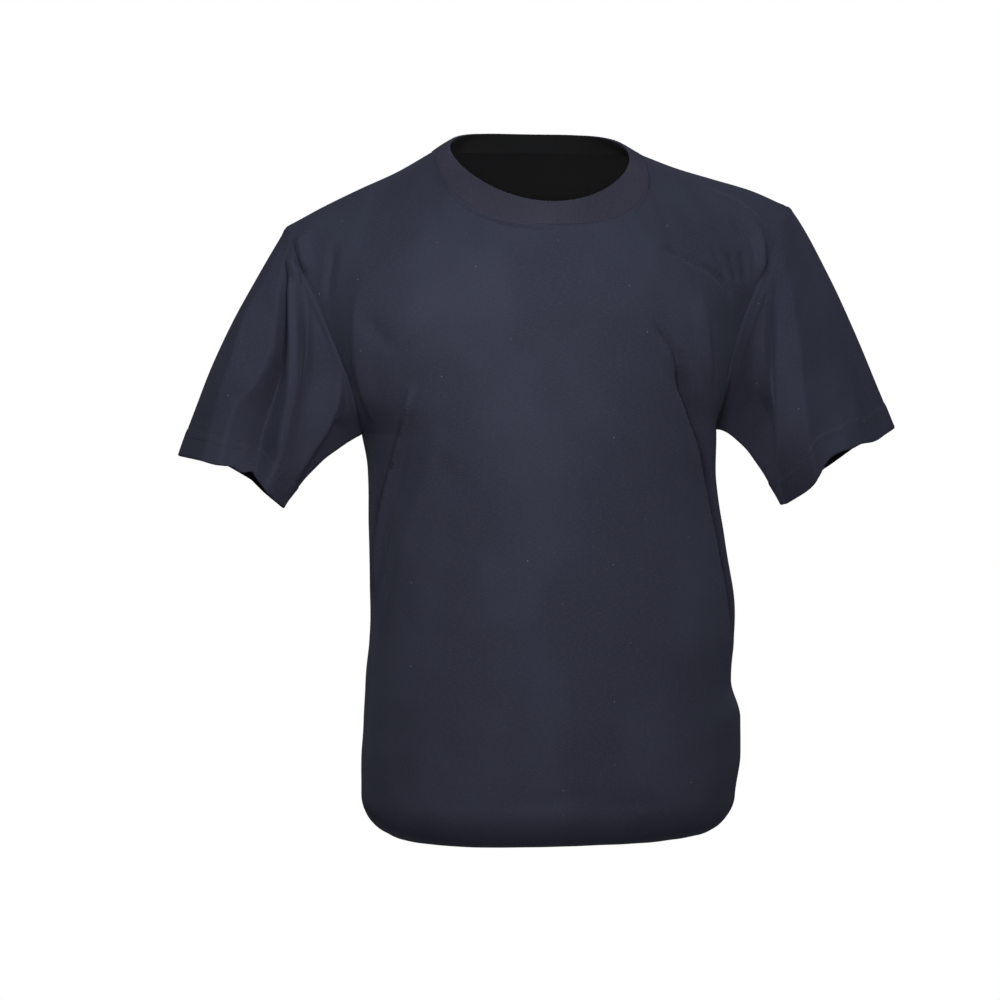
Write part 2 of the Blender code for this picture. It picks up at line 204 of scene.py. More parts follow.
class Hand(Enum):
    """The two sleeves; the value is the side of X that each is on."""

    RIGHT = -1
    LEFT = 1

    @property
    def key(self) -> str:
        """The sleeve's node name."""
        return "sleeve_" + self.name.lower()


@dataclass(frozen=True)
class Cells:
    """How many cells each stretch of the cloth is cut into.

    The first three run across a panel, the next four up it from the open hem, sleeve and band
    run along theirs, and rib_samples is for each rib of the band.
    """

    shoulder: int = 56
    front_neck: int = 80
    back_neck: int = 60
    reach: int = 8
    tuck: int = 14
    trunk: int = 96
    chest: int = 112
    sleeve: int = 120
    band: int = 12
    rib_samples: int = 8


# ---------------- folds


class Shape(Enum):
    """A fold's cross-section: a soft swell, or two flat sides that meet in a crease."""

    ROUND = "round"
    FACET = "facet"


@dataclass(frozen=True)
class Fold:
    """A trough (negative depth) or ridge along a path on the cloth, in millimetres.

    Attributes:
        path: places on the cloth; across and height on a panel, degrees and way down on a sleeve.
        width: how far its side reaches; degrees on a sleeve.
        depth: how far it lifts the cloth.
        shape: its cross-section.
        start: share of its length over which it grows.
        end: share of its length over which it fades.
        left: how far it reaches on the left of its path, as a share of its width.
    """

    path: tuple[tuple[float, float], ...]
    width: float
    depth: float
    shape: Shape = Shape.ROUND
    start: float = 0.3
    end: float = 0.3
    left: float = 1.0

    def lift(self, first: Array, second: Array, turn: float = 0.0) -> Array:
        """How far the fold lifts each place.

        Args:
            first: the places' across in millimetres, or degrees.
            second: the places' height or way down, in millimetres.
            turn: full turn of first, or 0 where it doesn't close on itself.

        Returns:
            The lift at each place, in metres.
        """
        knots = round_path(np.array(self.path, float))
        starts = run_along(knots)
        headings = unit(np.diff(knots, axis=0))
        nearest = np.full(first.shape, np.inf)
        aside, along = np.zeros(first.shape), np.zeros(first.shape)
        for knot, heading, start, length in zip(knots, headings, starts, np.diff(starts)):
            away = wrapped(first - knot[0], turn) if turn else first - knot[0]
            rise = second - knot[1]
            forward = np.clip(away * heading[0] + rise * heading[1], 0, length)
            gap = np.hypot(away - forward * heading[0], rise - forward * heading[1])
            nearer = gap < nearest
            nearest = np.where(nearer, gap, nearest)
            aside = np.where(nearer, gap * np.sign(heading[0] * rise - heading[1] * away), aside)
            along = np.where(nearer, start + forward, along)
        along = along / starts[-1]
        fade = smooth_step(along / self.start) * smooth_step((1 - along) / self.end)
        aside = aside / np.where(aside > 0, self.width * self.left, self.width)
        profile = bell(aside) if self.shape is Shape.ROUND else roof(aside)
        return self.depth / MILLIMETRES * fade * profile


def round_path(points: Array, cuts: int = 6) -> Array:
    """Puts more points on a path, along a smooth curve through its own.

    Args:
        points: the path's own points.
        cuts: how many stretches each of its spans is cut into.

    Returns:
        The points of the smooth path.
    """
    ends = np.concatenate(([2 * points[0] - points[1]], points, [2 * points[-1] - points[-2]]))
    t = np.linspace(0, 1, cuts, endpoint=False)[:, None]
    spans = []
    for a, b, c, d in zip(ends[:-3], ends[1:-2], ends[2:-1], ends[3:]):
        curve = 2 * b + (c - a) * t + (2 * a - 5 * b + 4 * c - d) * t**2
        spans.append((curve + (3 * b - a - 3 * c + d) * t**3) / 2)
    return np.concatenate(spans + [points[-1:]])


@dataclass(frozen=True)
class Ripple:
    """One wave of the slight unevenness that hung knit cloth has.

    Attributes:
        length: from crest to crest, in metres.
        heading: the crests' direction, in degrees from upright.
        phase: where it starts, in turns.
        height: how far it lifts the cloth, in metres.
        bend: how far its crests swing aside on their way, in turns.
    """

    length: float
    heading: float
    phase: float
    height: float
    bend: float = 0.16

    def lift(self, across: Array, along: Array) -> Array:
        """How far the wave lifts each place; it bends and swells on its way.

        Args:
            across: the places' distances across the cloth.
            along: their distances up it.

        Returns:
            The lift at each place, in metres.
        """
        angle = math.radians(self.heading)
        run = (across * math.cos(angle) + along * math.sin(angle)) / self.length
        aside = (along * math.cos(angle) - across * math.sin(angle)) / self.length
        bend = self.bend * np.sin(aside * 1.7 + self.phase * 9)
        swell = 0.6 + 0.4 * np.sin(aside * 1.1 + self.phase * 23)
        return self.height * swell * np.sin(math.tau * (run + self.phase + bend))


# ---------------- the body's form


@dataclass(frozen=True)
class BodyForm:
    """The smooth form that the cloth takes on a general figure, before its folds.

    The trunk's sides end at the foot, under which the cloth turns in round tuck_radius and
    reaches in by tuck_reach to the open hem; there it is gathered in puckers. Armholes start at
    the underarm. A form is the power of a curve: 1 gives an ellipse, and less a squarer one. The
    neckline takes neck_share of each half of a panel, and the shoulders' slope would rise by
    neck_slope_rise over it. The slopes are the heights over which the chest rounds over to the
    shoulders, towards sections chest_half wide, and side_zone is the share of the half width in
    which a section turns to meet the armhole. Spacings and the fan move cells, not the surface.
    """

    foot: float = -0.606
    underarm: float = -0.264
    form: float = 0.87
    sides: tuple[Side, ...] = (
        Side(-0.606, 0.166, 0.189),
        Side(-0.570, 0.166, 0.194),
        Side(-0.536, 0.164, 0.194),
        Side(-0.499, 0.162, 0.185),
        Side(-0.440, 0.158, 0.189),
        Side(-0.360, 0.159, 0.178),
        Side(-0.300, 0.160, 0.170),
        Side(-0.264, 0.166, 0.170),
    )
    depths: tuple[Depth, ...] = (
        Depth(-0.606, 0.130, 0.121),
        Depth(-0.536, 0.129, 0.119),
        Depth(-0.440, 0.124, 0.108),
        Depth(-0.360, 0.123, 0.105),
        Depth(-0.300, 0.126, 0.110),
        Depth(-0.230, 0.129, 0.116),
        Depth(-0.150, 0.128, 0.117),
        Depth(-0.060, 0.120, 0.110),
        Depth(0.010, 0.112, 0.102),
    )
    armhole: tuple[Armhole, ...] = (
        Armhole(0.00, 0.166, 0.166, 0.170, 0.170, 0.000, 0.000),
        Armhole(0.12, 0.179, 0.181, 0.168, 0.177, 0.044, 0.042),
        Armhole(0.25, 0.189, 0.193, 0.170, 0.187, 0.062, 0.058),
        Armhole(0.40, 0.201, 0.206, 0.177, 0.200, 0.072, 0.066),
        Armhole(0.62, 0.217, 0.222, 0.197, 0.219, 0.078, 0.072),
        Armhole(0.85, 0.232, 0.234, 0.225, 0.237, 0.080, 0.074),
        Armhole(1.00, 0.237, 0.237, 0.244, 0.244, 0.080, 0.074),
    )
    shoulder_line: tuple[ShoulderLine, ...] = (
        ShoulderLine(0.00, 0.0000, 0.0000),
        ShoulderLine(0.25, 0.0200, 0.0130),
        ShoulderLine(0.50, 0.0360, 0.0230),
        ShoulderLine(0.75, 0.0530, 0.0330),
        ShoulderLine(1.00, 0.0720, 0.0480),
    )
    tuck_radius: float = 0.038
    tuck_reach: float = 0.030
    puckers: int = 13
    pucker_depth: float = 0.007
    neck_half: float = 0.099
    neck_front_drop: float = 0.072
    neck_back_rise: float = 0.003
    neck_front_form: float = 0.77
    neck_back_form: float = 0.95
    neck_slope_rise: float = 0.026
    neck_share: float = 0.40
    neck_spacing: float = 0.45
    column_fan: float = 0.022
    front_slope: float = 0.180
    back_slope: float = 0.155
    slope_form: float = 1.42
    chest_half: float = 0.302
    side_zone: float = 0.65
    chest_spacing: float = 0.07

    def level_section(self, x: Array, half: Array) -> Array:
        """How much of its full depth a level section has at x; none at its half width."""
        return (1 - (x / half) ** (2 / self.form)).clip(0) ** (self.form / 2)

    def trunk_row(self, across: Array, height: float, face: Face,
                  inset: float = 0.0, sunk: float = 0.0) -> Array:
        """One row of the trunk, from side seam to side seam.

        Args:
            across: places from -1 at the right side seam to 1 at the left one.
            height: where the trunk's tables are read.
            face: the panel.
            inset: how far the row is drawn in.
            sunk: how far it lies under that height.

        Returns:
            The row's points.
        """
        half = by_side(across, self.sides, "", height)
        depth = through(self.depths, face.key, height)
        angle = across * np.pi / 2
        x = np.sign(across) * (half - inset) * np.abs(np.sin(angle)) ** self.form
        y = face.value * (depth - inset) * np.cos(angle).clip(0) ** self.form
        return np.stack((x, y, np.full(len(across), height - sunk)), axis=-1)

    def top_line(self, across: Array, face: Face) -> tuple[Array, Array, Array]:
        """A panel's top edge, along the neckline and both shoulder seams.

        Args:
            across: places from -1 at the right armhole to 1 at the left one.
            face: the panel.

        Returns:
            The edge's x and z, and the z of the slope that the neckline cuts.
        """
        form = self.neck_front_form if face is Face.FRONT else self.neck_back_form
        dip = -self.neck_front_drop if face is Face.FRONT else self.neck_back_rise
        turn = np.clip(np.abs(across) / self.neck_share, 0, 1)
        turn = turn - self.neck_spacing * (1 - form) * np.sin(2 * np.pi * turn)
        neck_x = self.neck_half * np.sin(turn * np.pi / 2) ** form
        neck_z = dip * np.cos(turn * np.pi / 2).clip(0) ** form
        share = np.clip((np.abs(across) - self.neck_share) / (1 - self.neck_share), 0, 1)
        drop = by_side(across, self.shoulder_line, "_drop", share)
        reach = by_side(across, self.armhole, "_front", 1.0)
        x = neck_x + (reach - self.neck_half) * share
        return x, neck_z - drop, self.neck_slope_rise * (1 - turn**2) - drop

    def chest_row(self, across: Array, rise: float, face: Face) -> Array:
        """One row of the chest, from armhole to armhole.

        Args:
            across: places from -1 at the right armhole to 1 at the left one.
            rise: share of the way from the underarms to the shoulders.
            face: the panel.

        Returns:
            The row's points.
        """
        top_x, top_z, ridge_z = self.top_line(across, face)
        reach = by_side(across, self.armhole, "_front", 1.0)
        low_half = by_side(across, self.sides, "", self.underarm)
        low_share = np.abs(np.sin(across * np.pi / 2)) ** self.form
        edge = by_side(across, self.armhole, "_" + face.key, rise)
        blend = smooth_step(rise)
        x = edge * ((1 - blend) * low_share + blend * top_x / reach)
        x = x + self.column_fan * 4 * rise * (1 - rise) * np.sin(np.pi * across) ** 2
        z = self.underarm + (top_z - self.underarm) * rise
        depth = through(self.depths, face.key, z)
        edge_share = through(self.armhole, face.key, rise) / depth
        edge_half = edge / (1 - edge_share ** (2 / self.form)) ** (self.form / 2)
        body = self.level_section(x, low_half + (self.chest_half - low_half) * blend)
        at_edge = smooth_step((x / edge - 1 + self.side_zone) / self.side_zone)
        side = body + (self.level_section(x, edge_half) - body) * at_edge
        slope = self.front_slope if face is Face.FRONT else self.back_slope
        drop = np.clip((ridge_z - z) / slope, 0, 1)
        over = (1 - (1 - drop) ** self.slope_form) ** (1 / self.slope_form)
        return np.stack((np.sign(across) * x, face.value * depth * side * over, z), axis=-1)

    def grid(self, across: Array, face: Face, cells: Cells) -> Array:
        """A panel's smooth middle surface.

        Args:
            across: places from the right side to the left one.
            face: the panel.
            cells: how many rows each stretch has.

        Returns:
            Rows of points, from the open hem under the body up to the shoulders.
        """
        rows = []
        for share in np.linspace(1, 0, cells.reach + 1)[:-1]:
            inset = self.tuck_radius + self.tuck_reach * share
            rows.append(self.trunk_row(across, self.foot, face, inset, self.tuck_radius))
        for angle in np.linspace(np.pi / 2, 0, cells.tuck + 1)[:-1]:
            inset = self.tuck_radius * (1 - math.cos(angle))
            sunk = self.tuck_radius * math.sin(angle)
            rows.append(self.trunk_row(across, self.foot, face, inset, sunk))
        for height in np.linspace(self.foot, self.underarm, cells.trunk + 1)[:-1]:
            rows.append(self.trunk_row(across, height, face))
        share = np.linspace(0, 1, cells.chest + 1)
        for rise in share - self.chest_spacing * np.sin(2 * np.pi * share):
            rows.append(self.chest_row(across, rise, face))
        return np.array(rows)


def columns(neck_share: float, shoulder: int, neck: int, crowding: float = 0.25) -> Array:
    """Places across a panel: shoulder cells that narrow towards the sides, and neck cells.

    Args:
        neck_share: share of each half that the neckline takes.
        shoulder: how many cells each shoulder has.
        neck: how many the neckline has.
        crowding: how much the shoulder cells narrow.

    Returns:
        Places from -1 to 1.
    """
    share = np.linspace(0, 1, shoulder + 1)
    outer = neck_share + (1 - neck_share) * share * (1 + crowding - crowding * share)
    middle = np.linspace(-neck_share, neck_share, neck + 1)
    return np.concatenate((-outer[:0:-1], middle, outer[1:]))


# ---------------- cloth and its wall


def arc_lengths(points: Array, axis: int) -> Array:
    """Distance run along each column (axis 0) or row (axis 1) of a grid.

    Args:
        points: rows by columns by three.
        axis: the way to run.

    Returns:
        Each point's distance from the start of its column or row.
    """
    step = np.linalg.norm(np.diff(points, axis=axis), axis=2)
    start = np.zeros_like(np.take(step, [0], axis=axis))
    return np.concatenate((start, np.cumsum(step, axis=axis)), axis=axis)


def from_sides(across: Array) -> Array:
    """Each point's distance from the nearer end of its row."""
    return np.minimum(across - across[:, :1], across[:, -1:] - across)


def grid_normals(points: Array, closed: bool) -> Array:
    """Unit normals of a grid, along columns crossed with along rows.

    Args:
        points: rows by columns by three.
        closed: whether the last column meets the first.

    Returns:
        One normal for each point.
    """
    if closed:
        around = np.concatenate((points[:, -1:], points, points[:, :1]), axis=1)
        across = around[:, 2:] - around[:, :-2]
    else:
        across = np.gradient(points, axis=1)
    return unit(np.cross(across, np.gradient(points, axis=0)))


@dataclass
class Cloth:
    """A middle surface as a grid, with what is needed to make its wall.

    Attributes:
        node: the name of the node that it stands for.
        points: rows by columns by three.
        across: each point's place across the cloth, in metres.
        along: each point's place up or down the cloth, in metres.
        wall: each point's thickness.
        closed: whether the last column meets the first.
        normals: each point's way out.
        relief: how far each point of the outside stands out beyond the wall.
    """

    node: str
    points: Array
    across: Array
    along: Array
    wall: Array
    closed: bool = False
    normals: Array = field(init=False)
    relief: Array = field(init=False)

    def __post_init__(self) -> None:
        """Works the normals out, and leaves the outside plain."""
        self.normals = grid_normals(self.points, self.closed)
        self.relief = np.zeros(self.wall.shape)

    def lift(self, height: Array) -> None:
        """Moves every point out by its height, and works the normals out again."""
        self.points = self.points + self.normals * height[:, :, None]
        self.normals = grid_normals(self.points, self.closed)

    def outside(self) -> Array:
        """The wall's outer face."""
        return self.points + self.normals * (self.wall / 2 + self.relief)[:, :, None]

    def inside(self) -> Array:
        """The wall's inner face."""
        return self.points - self.normals * (self.wall / 2)[:, :, None]

    def line_at(self, distance: float) -> tuple[Array, Array]:
        """A line across the outside, at a distance from the hem.

        Args:
            distance: from the first row of a panel, or from the last row of a tube.

        Returns:
            One point and one normal for each column; a tube's line ends where it starts.
        """
        way = -1 if self.closed else 1
        hem = self.along[-1] if self.closed else self.along[0]
        numbers = np.arange(len(self.points))
        places = [np.interp(way * distance, way * column, numbers)
                  for column in (way * (self.along - hem)).T]
        low = np.clip(np.floor(places).astype(int), 0, len(self.points) - 2)
        share = (places - low)[:, None]
        outside, index = self.outside(), np.arange(self.points.shape[1])
        line = outside[low, index] * (1 - share) + outside[low + 1, index] * share
        normals = self.normals[low, index]
        if self.closed:
            line = np.concatenate((line, line[:1]))
            normals = np.concatenate((normals, normals[:1]))
        return line, normals

    def set_seams(self, gap: float, lap: float) -> None:
        """Draws a panel's sewn edges back a little, and laps a tube's first edge over them.

        Args:
            gap: how far a panel's edges are drawn back.
            lap: how far a tube's edge reaches over them.
        """
        points = self.points
        if self.closed:
            points[0] -= unit(points[1] - points[0]) * lap
            return
        left = unit(points[:, 1] - points[:, 0]) * gap
        right = unit(points[:, -2] - points[:, -1]) * gap
        top = unit(points[-2] - points[-1]) * gap
        points[:, 0] += left
        points[:, -1] += right
        points[-1] += top


def share_normals(cloths: Sequence[Cloth], digits: int = 6) -> None:
    """Gives cloths that meet at a seam point one normal there, the mean of their own.

    Args:
        cloths: the cloths, whose normals are changed.
        digits: decimals to which two points' places agree where they meet.
    """
    meeting: dict[tuple[float, ...], list[tuple[Array, int]]] = {}
    for cloth in cloths:
        flat = cloth.normals.reshape(-1, 3)
        rim = np.zeros(cloth.wall.shape, bool)
        rim[0] = rim[-1] = True
        if not cloth.closed:
            rim[:, 0] = rim[:, -1] = True
        places = np.round(cloth.points.reshape(-1, 3), digits)
        for index in np.flatnonzero(rim.ravel()):
            meeting.setdefault(tuple(places[index]), []).append((flat, int(index)))
    for shared in meeting.values():
        if len(shared) > 1:
            mean = unit(sum(flat[index] for flat, index in shared))
            for flat, index in shared:
                flat[index] = mean


def meet_band(band: Cloth, panels: Sequence[Cloth], met: float = 0.002, beside: float = 0.006,
              hair: float = 0.00001) -> None:
    """Gives the neck band and the panels one normal where they meet, the mean of their own.

    Args:
        band: the neck band's cloth, whose first row stands on the panels.
        panels: the panels' cloths.
        met: how near the band a point of a panel lies that meets it.
        beside: how near such a point a point of the band lies that follows it.
        hair: added to distances, so that none is 0.
    """
    foot = band.points[0]
    blended_foot = band.normals[0].copy()
    for panel in panels:
        normals = panel.normals[-1]
        gap = np.linalg.norm(panel.points[-1][:, None, :] - foot[None, :, :], axis=2)
        meeting = np.flatnonzero(gap.min(axis=1) < met)
        gap, near = gap[meeting], gap.argmin(axis=1)[meeting]
        normals[meeting] = unit(normals[meeting] + band.normals[0][near])
        closest = gap.argsort(axis=0)[:2]
        nearness = 1 / (np.take_along_axis(gap, closest, axis=0) + hair)
        blended = (normals[meeting][closest] * nearness[:, :, None]).sum(axis=0)
        touching = gap.min(axis=0) < beside
        blended_foot[touching] = unit(blended[touching])
    band.normals[0] = blended_foot


def add_to_scene(name: str, data: bpy.types.ID) -> bpy.types.Object:
    """Makes an object and links it to the scene.

    Args:
        name: the object's name.
        data: its mesh, light or camera.

    Returns:
        The object.
    """
    made = bpy.data.objects.new(name, data)
    bpy.context.scene.collection.objects.link(made)
    return made


def quad_mesh(name: str, vertices: Array, faces: Array) -> bpy.types.Mesh:
    """Makes a smooth mesh.

    Args:
        name: the mesh's name.
        vertices: one row of three for each vertex.
        faces: one row of four vertex numbers for each face.

    Returns:
        The mesh.
    """
    mesh = bpy.data.meshes.new(name)
    mesh.vertices.add(len(vertices))
    mesh.vertices.foreach_set("co", vertices.astype(np.float32).ravel())
    mesh.loops.add(faces.size)
    mesh.loops.foreach_set("vertex_index", faces.ravel().astype(np.int32))
    mesh.polygons.add(len(faces))
    mesh.polygons.foreach_set("loop_start", np.arange(0, faces.size, 4, dtype=np.int32))
    mesh.update(calc_edges=True)
    mesh.shade_smooth()
    return mesh


@dataclass
class Shell:
    """A cloth's closed wall: its outside, its inside and rounded edges between them.

    Attributes:
        cloth: the middle surface.
        turn: cells round each edge.
        sewn: how far a sewn edge's rim bulges, as a share of half the wall.
        free: the same for a free edge.
        vertices: the shell's points, in the blocks in which they are added.
        places: their places on the cloth, across and along.
        faces: its faces, as rows of vertex numbers.
        slots: their material slots, 0 outside and 1 inside.
        creases: edges that stay sharp, as rows of vertex numbers.
    """

    cloth: Cloth
    turn: int = 3
    sewn: float = 0.12
    free: float = 0.9
    vertices: list[Array] = field(default_factory=list)
    places: list[Array] = field(default_factory=list)
    faces: list[Array] = field(default_factory=list)
    slots: list[Array] = field(default_factory=list)
    creases: list[Array] = field(default_factory=list)

    def add_faces(self, faces: Array, inside: bool) -> None:
        """Adds faces on the outside or the inside."""
        self.faces.append(faces)
        self.slots.append(np.full(len(faces), int(inside)))

    def add_walls(self) -> Array:
        """Adds the outside and the inside.

        Returns:
            The outside's vertex numbers, as a grid.
        """
        cloth = self.cloth
        grid = np.arange(cloth.wall.size).reshape(cloth.wall.shape)
        loop = np.concatenate((grid, grid[:, :1]), axis=1) if cloth.closed else grid
        quads = np.stack((loop[:-1, :-1], loop[:-1, 1:], loop[1:, 1:], loop[1:, :-1]), axis=-1)
        quads = quads.reshape(-1, 4)
        place = np.stack((cloth.across.ravel(), cloth.along.ravel()), axis=-1)
        for wall in (cloth.outside(), cloth.inside()):
            self.vertices.append(wall.reshape(-1, 3))
            self.places.append(place)
        self.add_faces(quads, inside=False)
        self.add_faces(quads[:, ::-1] + cloth.wall.size, inside=True)
        return grid

    def rims(self, grid: Array) -> list[tuple[Array, Array, Array]]:
        """Finds the shell's edges.

        Args:
            grid: the outside's vertex numbers.

        Returns:
            For each edge all round, its vertices, their neighbours inward and their bulge.
        """
        count = grid.shape[1]
        if self.cloth.closed:
            return [
                (grid[0, ::-1], grid[1, ::-1], np.full(count, self.sewn)),
                (grid[-1], grid[-2], np.full(count, self.free)),
            ]
        ring = np.concatenate((grid[0, ::-1], grid[1:, 0], grid[-1, 1:], grid[-2:0:-1, -1]))
        near = np.concatenate((grid[1, ::-1], grid[1:, 1], grid[-2, 1:], grid[-2:0:-1, -2]))
        bulge = np.full(len(ring), self.sewn)
        bulge[:count] = self.free
        return [(ring, near, bulge)]

    def round_edge(self, line: Array, near: Array, bulge: Array) -> None:
        """Joins the outside to the inside round one edge.

        Args:
            line: the edge's vertices on the outside.
            near: their neighbours inward.
            bulge: how far each bulges, as a share of half the wall.
        """
        outside, inside = self.vertices[:2]
        middle, upward = (outside[line] + inside[line]) / 2, (outside[line] - inside[line]) / 2
        outward = unit(middle - (outside[near] + inside[near]) / 2)
        square = np.maximum((upward * upward).sum(-1, keepdims=True), TINY)
        outward = unit(outward - upward * (outward * upward).sum(-1, keepdims=True) / square)
        reach = np.linalg.norm(upward, axis=-1, keepdims=True) * bulge[:, None]
        steps = [line]
        for step in range(1, self.turn):
            angle = math.pi * step / self.turn
            start = sum(map(len, self.vertices))
            self.vertices.append(middle + upward * math.cos(angle) + outward * reach * math.sin(angle))
            self.places.append(self.places[0][line])
            steps.append(np.arange(start, start + len(line)))
        steps.append(line + len(outside))
        for step, (first, second) in enumerate(zip(steps[:-1], steps[1:])):
            strip = np.stack((first, np.roll(first, -1), np.roll(second, -1), second), axis=-1)
            self.add_faces(strip, inside=step == self.turn - 1)
        creased = bulge * np.roll(bulge, -1) < self.free * self.free / 2
        for edge in (steps[0], steps[-1]):
            self.creases.append(np.stack((edge, np.roll(edge, -1)), axis=-1)[creased])

    def uv(self, faces: Array) -> Array:
        """The UV places of the faces' corners, in metres.

        Args:
            faces: all faces.

        Returns:
            Two numbers for each corner; a tube's last cells run on past its girth.
        """
        cloth = self.cloth
        uv = np.concatenate(self.places)[faces]
        if cloth.closed:
            count = cloth.wall.shape[1]
            girth = cloth.across.max() * count / (count - 1)
            wide = np.ptp(uv[:, :, :1], axis=1, keepdims=True) > girth / 2
            uv[:, :, :1] += girth * (wide & (uv[:, :, :1] < girth / 2))
        return uv

    def build(self) -> bpy.types.Object:
        """Makes the shell's mesh, with its UV map and its sharp edges.

        Returns:
            The shell's object.
        """
        for line, near, bulge in self.rims(self.add_walls()):
            self.round_edge(line, near, bulge)
        name = "cloth_" + self.cloth.node
        vertices, faces = np.concatenate(self.vertices), np.concatenate(self.faces)
        mesh = quad_mesh(name, vertices, faces)
        mesh.polygons.foreach_set("material_index", np.concatenate(self.slots).astype(np.int32))
        uv = self.uv(faces).astype(np.float32)
        mesh.uv_layers.new(name="cloth").data.foreach_set("uv", uv.ravel())
        ends = np.zeros(len(mesh.edges) * 2, np.int64)
        mesh.edges.foreach_get("vertices", ends)
        number = (len(vertices), 1)
        ends = np.sort(ends.reshape(-1, 2), axis=1) @ number
        sharp = np.isin(ends, np.sort(np.concatenate(self.creases), axis=1) @ number)
        mesh.attributes.new("sharp_edge", "BOOLEAN", "EDGE").data.foreach_set("value", sharp)
        return add_to_scene(name, mesh)


# ---------------- stitching


@dataclass(frozen=True)
class StitchRow:
    """A row of straight stitches that lie along a cloth.

    Attributes:
        pitch: from one stitch to the next.
        gap: between two stitches.
        radius: the thread's radius.
        sides: vertices round the thread.
        swell: share of the radius that each ring along a stitch has.
        sunk: how far a stitch's ends lie in the cloth, in radii.
        arch: how far its middle rises from there, in radii.
    """

    pitch: float = 0.0030
    gap: float = 0.0007
    radius: float = 0.00030
    sides: int = 6
    swell: tuple[float, ...] = (0.45, 0.9, 1.0, 0.9, 0.45)
    sunk: float = 0.7
    arch: float = 1.3

    def build(self, line: Array, normals: Array) -> tuple[Array, Array]:
        """Makes one row's stitches.

        Args:
            line: points along the row, closely spaced.
            normals: the cloth's normals at those points.

        Returns:
            The vertices and the four-sided faces.
        """
        run = run_along(line)
        count = max(1, int(run[-1] / self.pitch))
        pitch = run[-1] / count
        share = np.linspace(0, 1, len(self.swell))
        starts = np.arange(count) * pitch + self.gap / 2
        place = starts[:, None] + share[None, :] * (pitch - self.gap)
        centre = between(place, run, line)
        up = unit(between(place, run, normals))
        side = unit(np.cross(unit(np.gradient(centre, axis=1)), up))
        rise = self.radius * (self.arch * np.sin(np.pi * share) - self.sunk)
        centre = centre + up * rise[None, :, None]
        size = self.radius * np.array(self.swell)[None, :, None, None]
        angle = np.linspace(0, math.tau, self.sides, endpoint=False)[None, None, :, None]
        ring = np.cos(angle) * up[:, :, None, :] + np.sin(angle) * side[:, :, None, :]
        vertices = (centre[:, :, None, :] + size * ring).reshape(-1, 3)
        grid = np.arange(len(vertices)).reshape(count, -1, self.sides)
        after = np.roll(grid, -1, axis=2)
        tube = np.stack((grid[:, :-1], after[:, :-1], after[:, 1:], grid[:, 1:]), axis=-1)
        return vertices, tube.reshape(-1, 4)


# ---------------- sewn parts


@dataclass
class SewnPart:
    """A part that is cut from knit and sewn in: its cloth is laid, and dressed once all meet.

    Attributes:
        cells: how finely its cloth is cut into cells.
        cloth: its cloth, once it is laid.
        fabric: the knit it is cut from, which picks its finishes.
        jersey_wall: the jersey's thickness.
        hem_wall: its thickness where the hem is turned up.
        hem_rows: how far its rows of hem stitches lie from the hem's edge.
        stitch: the kind of those stitches.
    """

    cells: Cells
    cloth: Cloth = field(init=False)
    fabric: ClassVar[str] = "jersey"
    jersey_wall: ClassVar[float] = 0.0016
    hem_wall: ClassVar[float] = 0.0026
    hem_rows: ClassVar[tuple[float, ...]] = (0.024, 0.018)
    stitch: ClassVar[StitchRow] = StitchRow()

    def hem_stitches(self, thread: bpy.types.Material) -> bpy.types.Object:
        """Makes the rows of stitches along the hem's top edge.

        Args:
            thread: the thread's finish.

        Returns:
            The stitches' object.
        """
        rows = [self.stitch.build(*self.cloth.line_at(distance)) for distance in self.hem_rows]
        starts = np.cumsum([0] + [len(vertices) for vertices, _ in rows])
        faces = np.concatenate([faces + start for (_, faces), start in zip(rows, starts)])
        name = "stitches_" + self.cloth.node
        mesh = quad_mesh(name, np.concatenate([vertices for vertices, _ in rows]), faces)
        mesh.materials.append(thread)
        piece = add_to_scene(name, mesh)
        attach(piece, "root")
        return piece

    def dress(self, knits: dict[str, Sequence[bpy.types.Material]], thread: bpy.types.Material,
              cut: Cut) -> list[bpy.types.Object]:
        """Args:
            knits: each fabric's outside and inside finish.
            thread: the thread's finish.
            cut: the part's flat size; not used.

        Returns:
            The objects of its cloth and of its stitches.
        """
        node = self.cloth.node
        piece = Shell(self.cloth).build()
        for finish in knits[self.fabric]:
            piece.data.materials.append(finish)
        seams = [self.hem_stitches(thread)] if self.hem_rows else []
        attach(piece, "root")
        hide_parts(node)
        return [piece, *seams]


class Ridge(NamedTuple):
    """A low ridge beside a seam, or a groove where its height is below 0."""

    place: float
    width: float
    height: float

    def at(self, distance: Array) -> Array:
        """How far the cloth stands out at distances from the seam."""
        return self.height * bell((distance - self.place) / self.width)


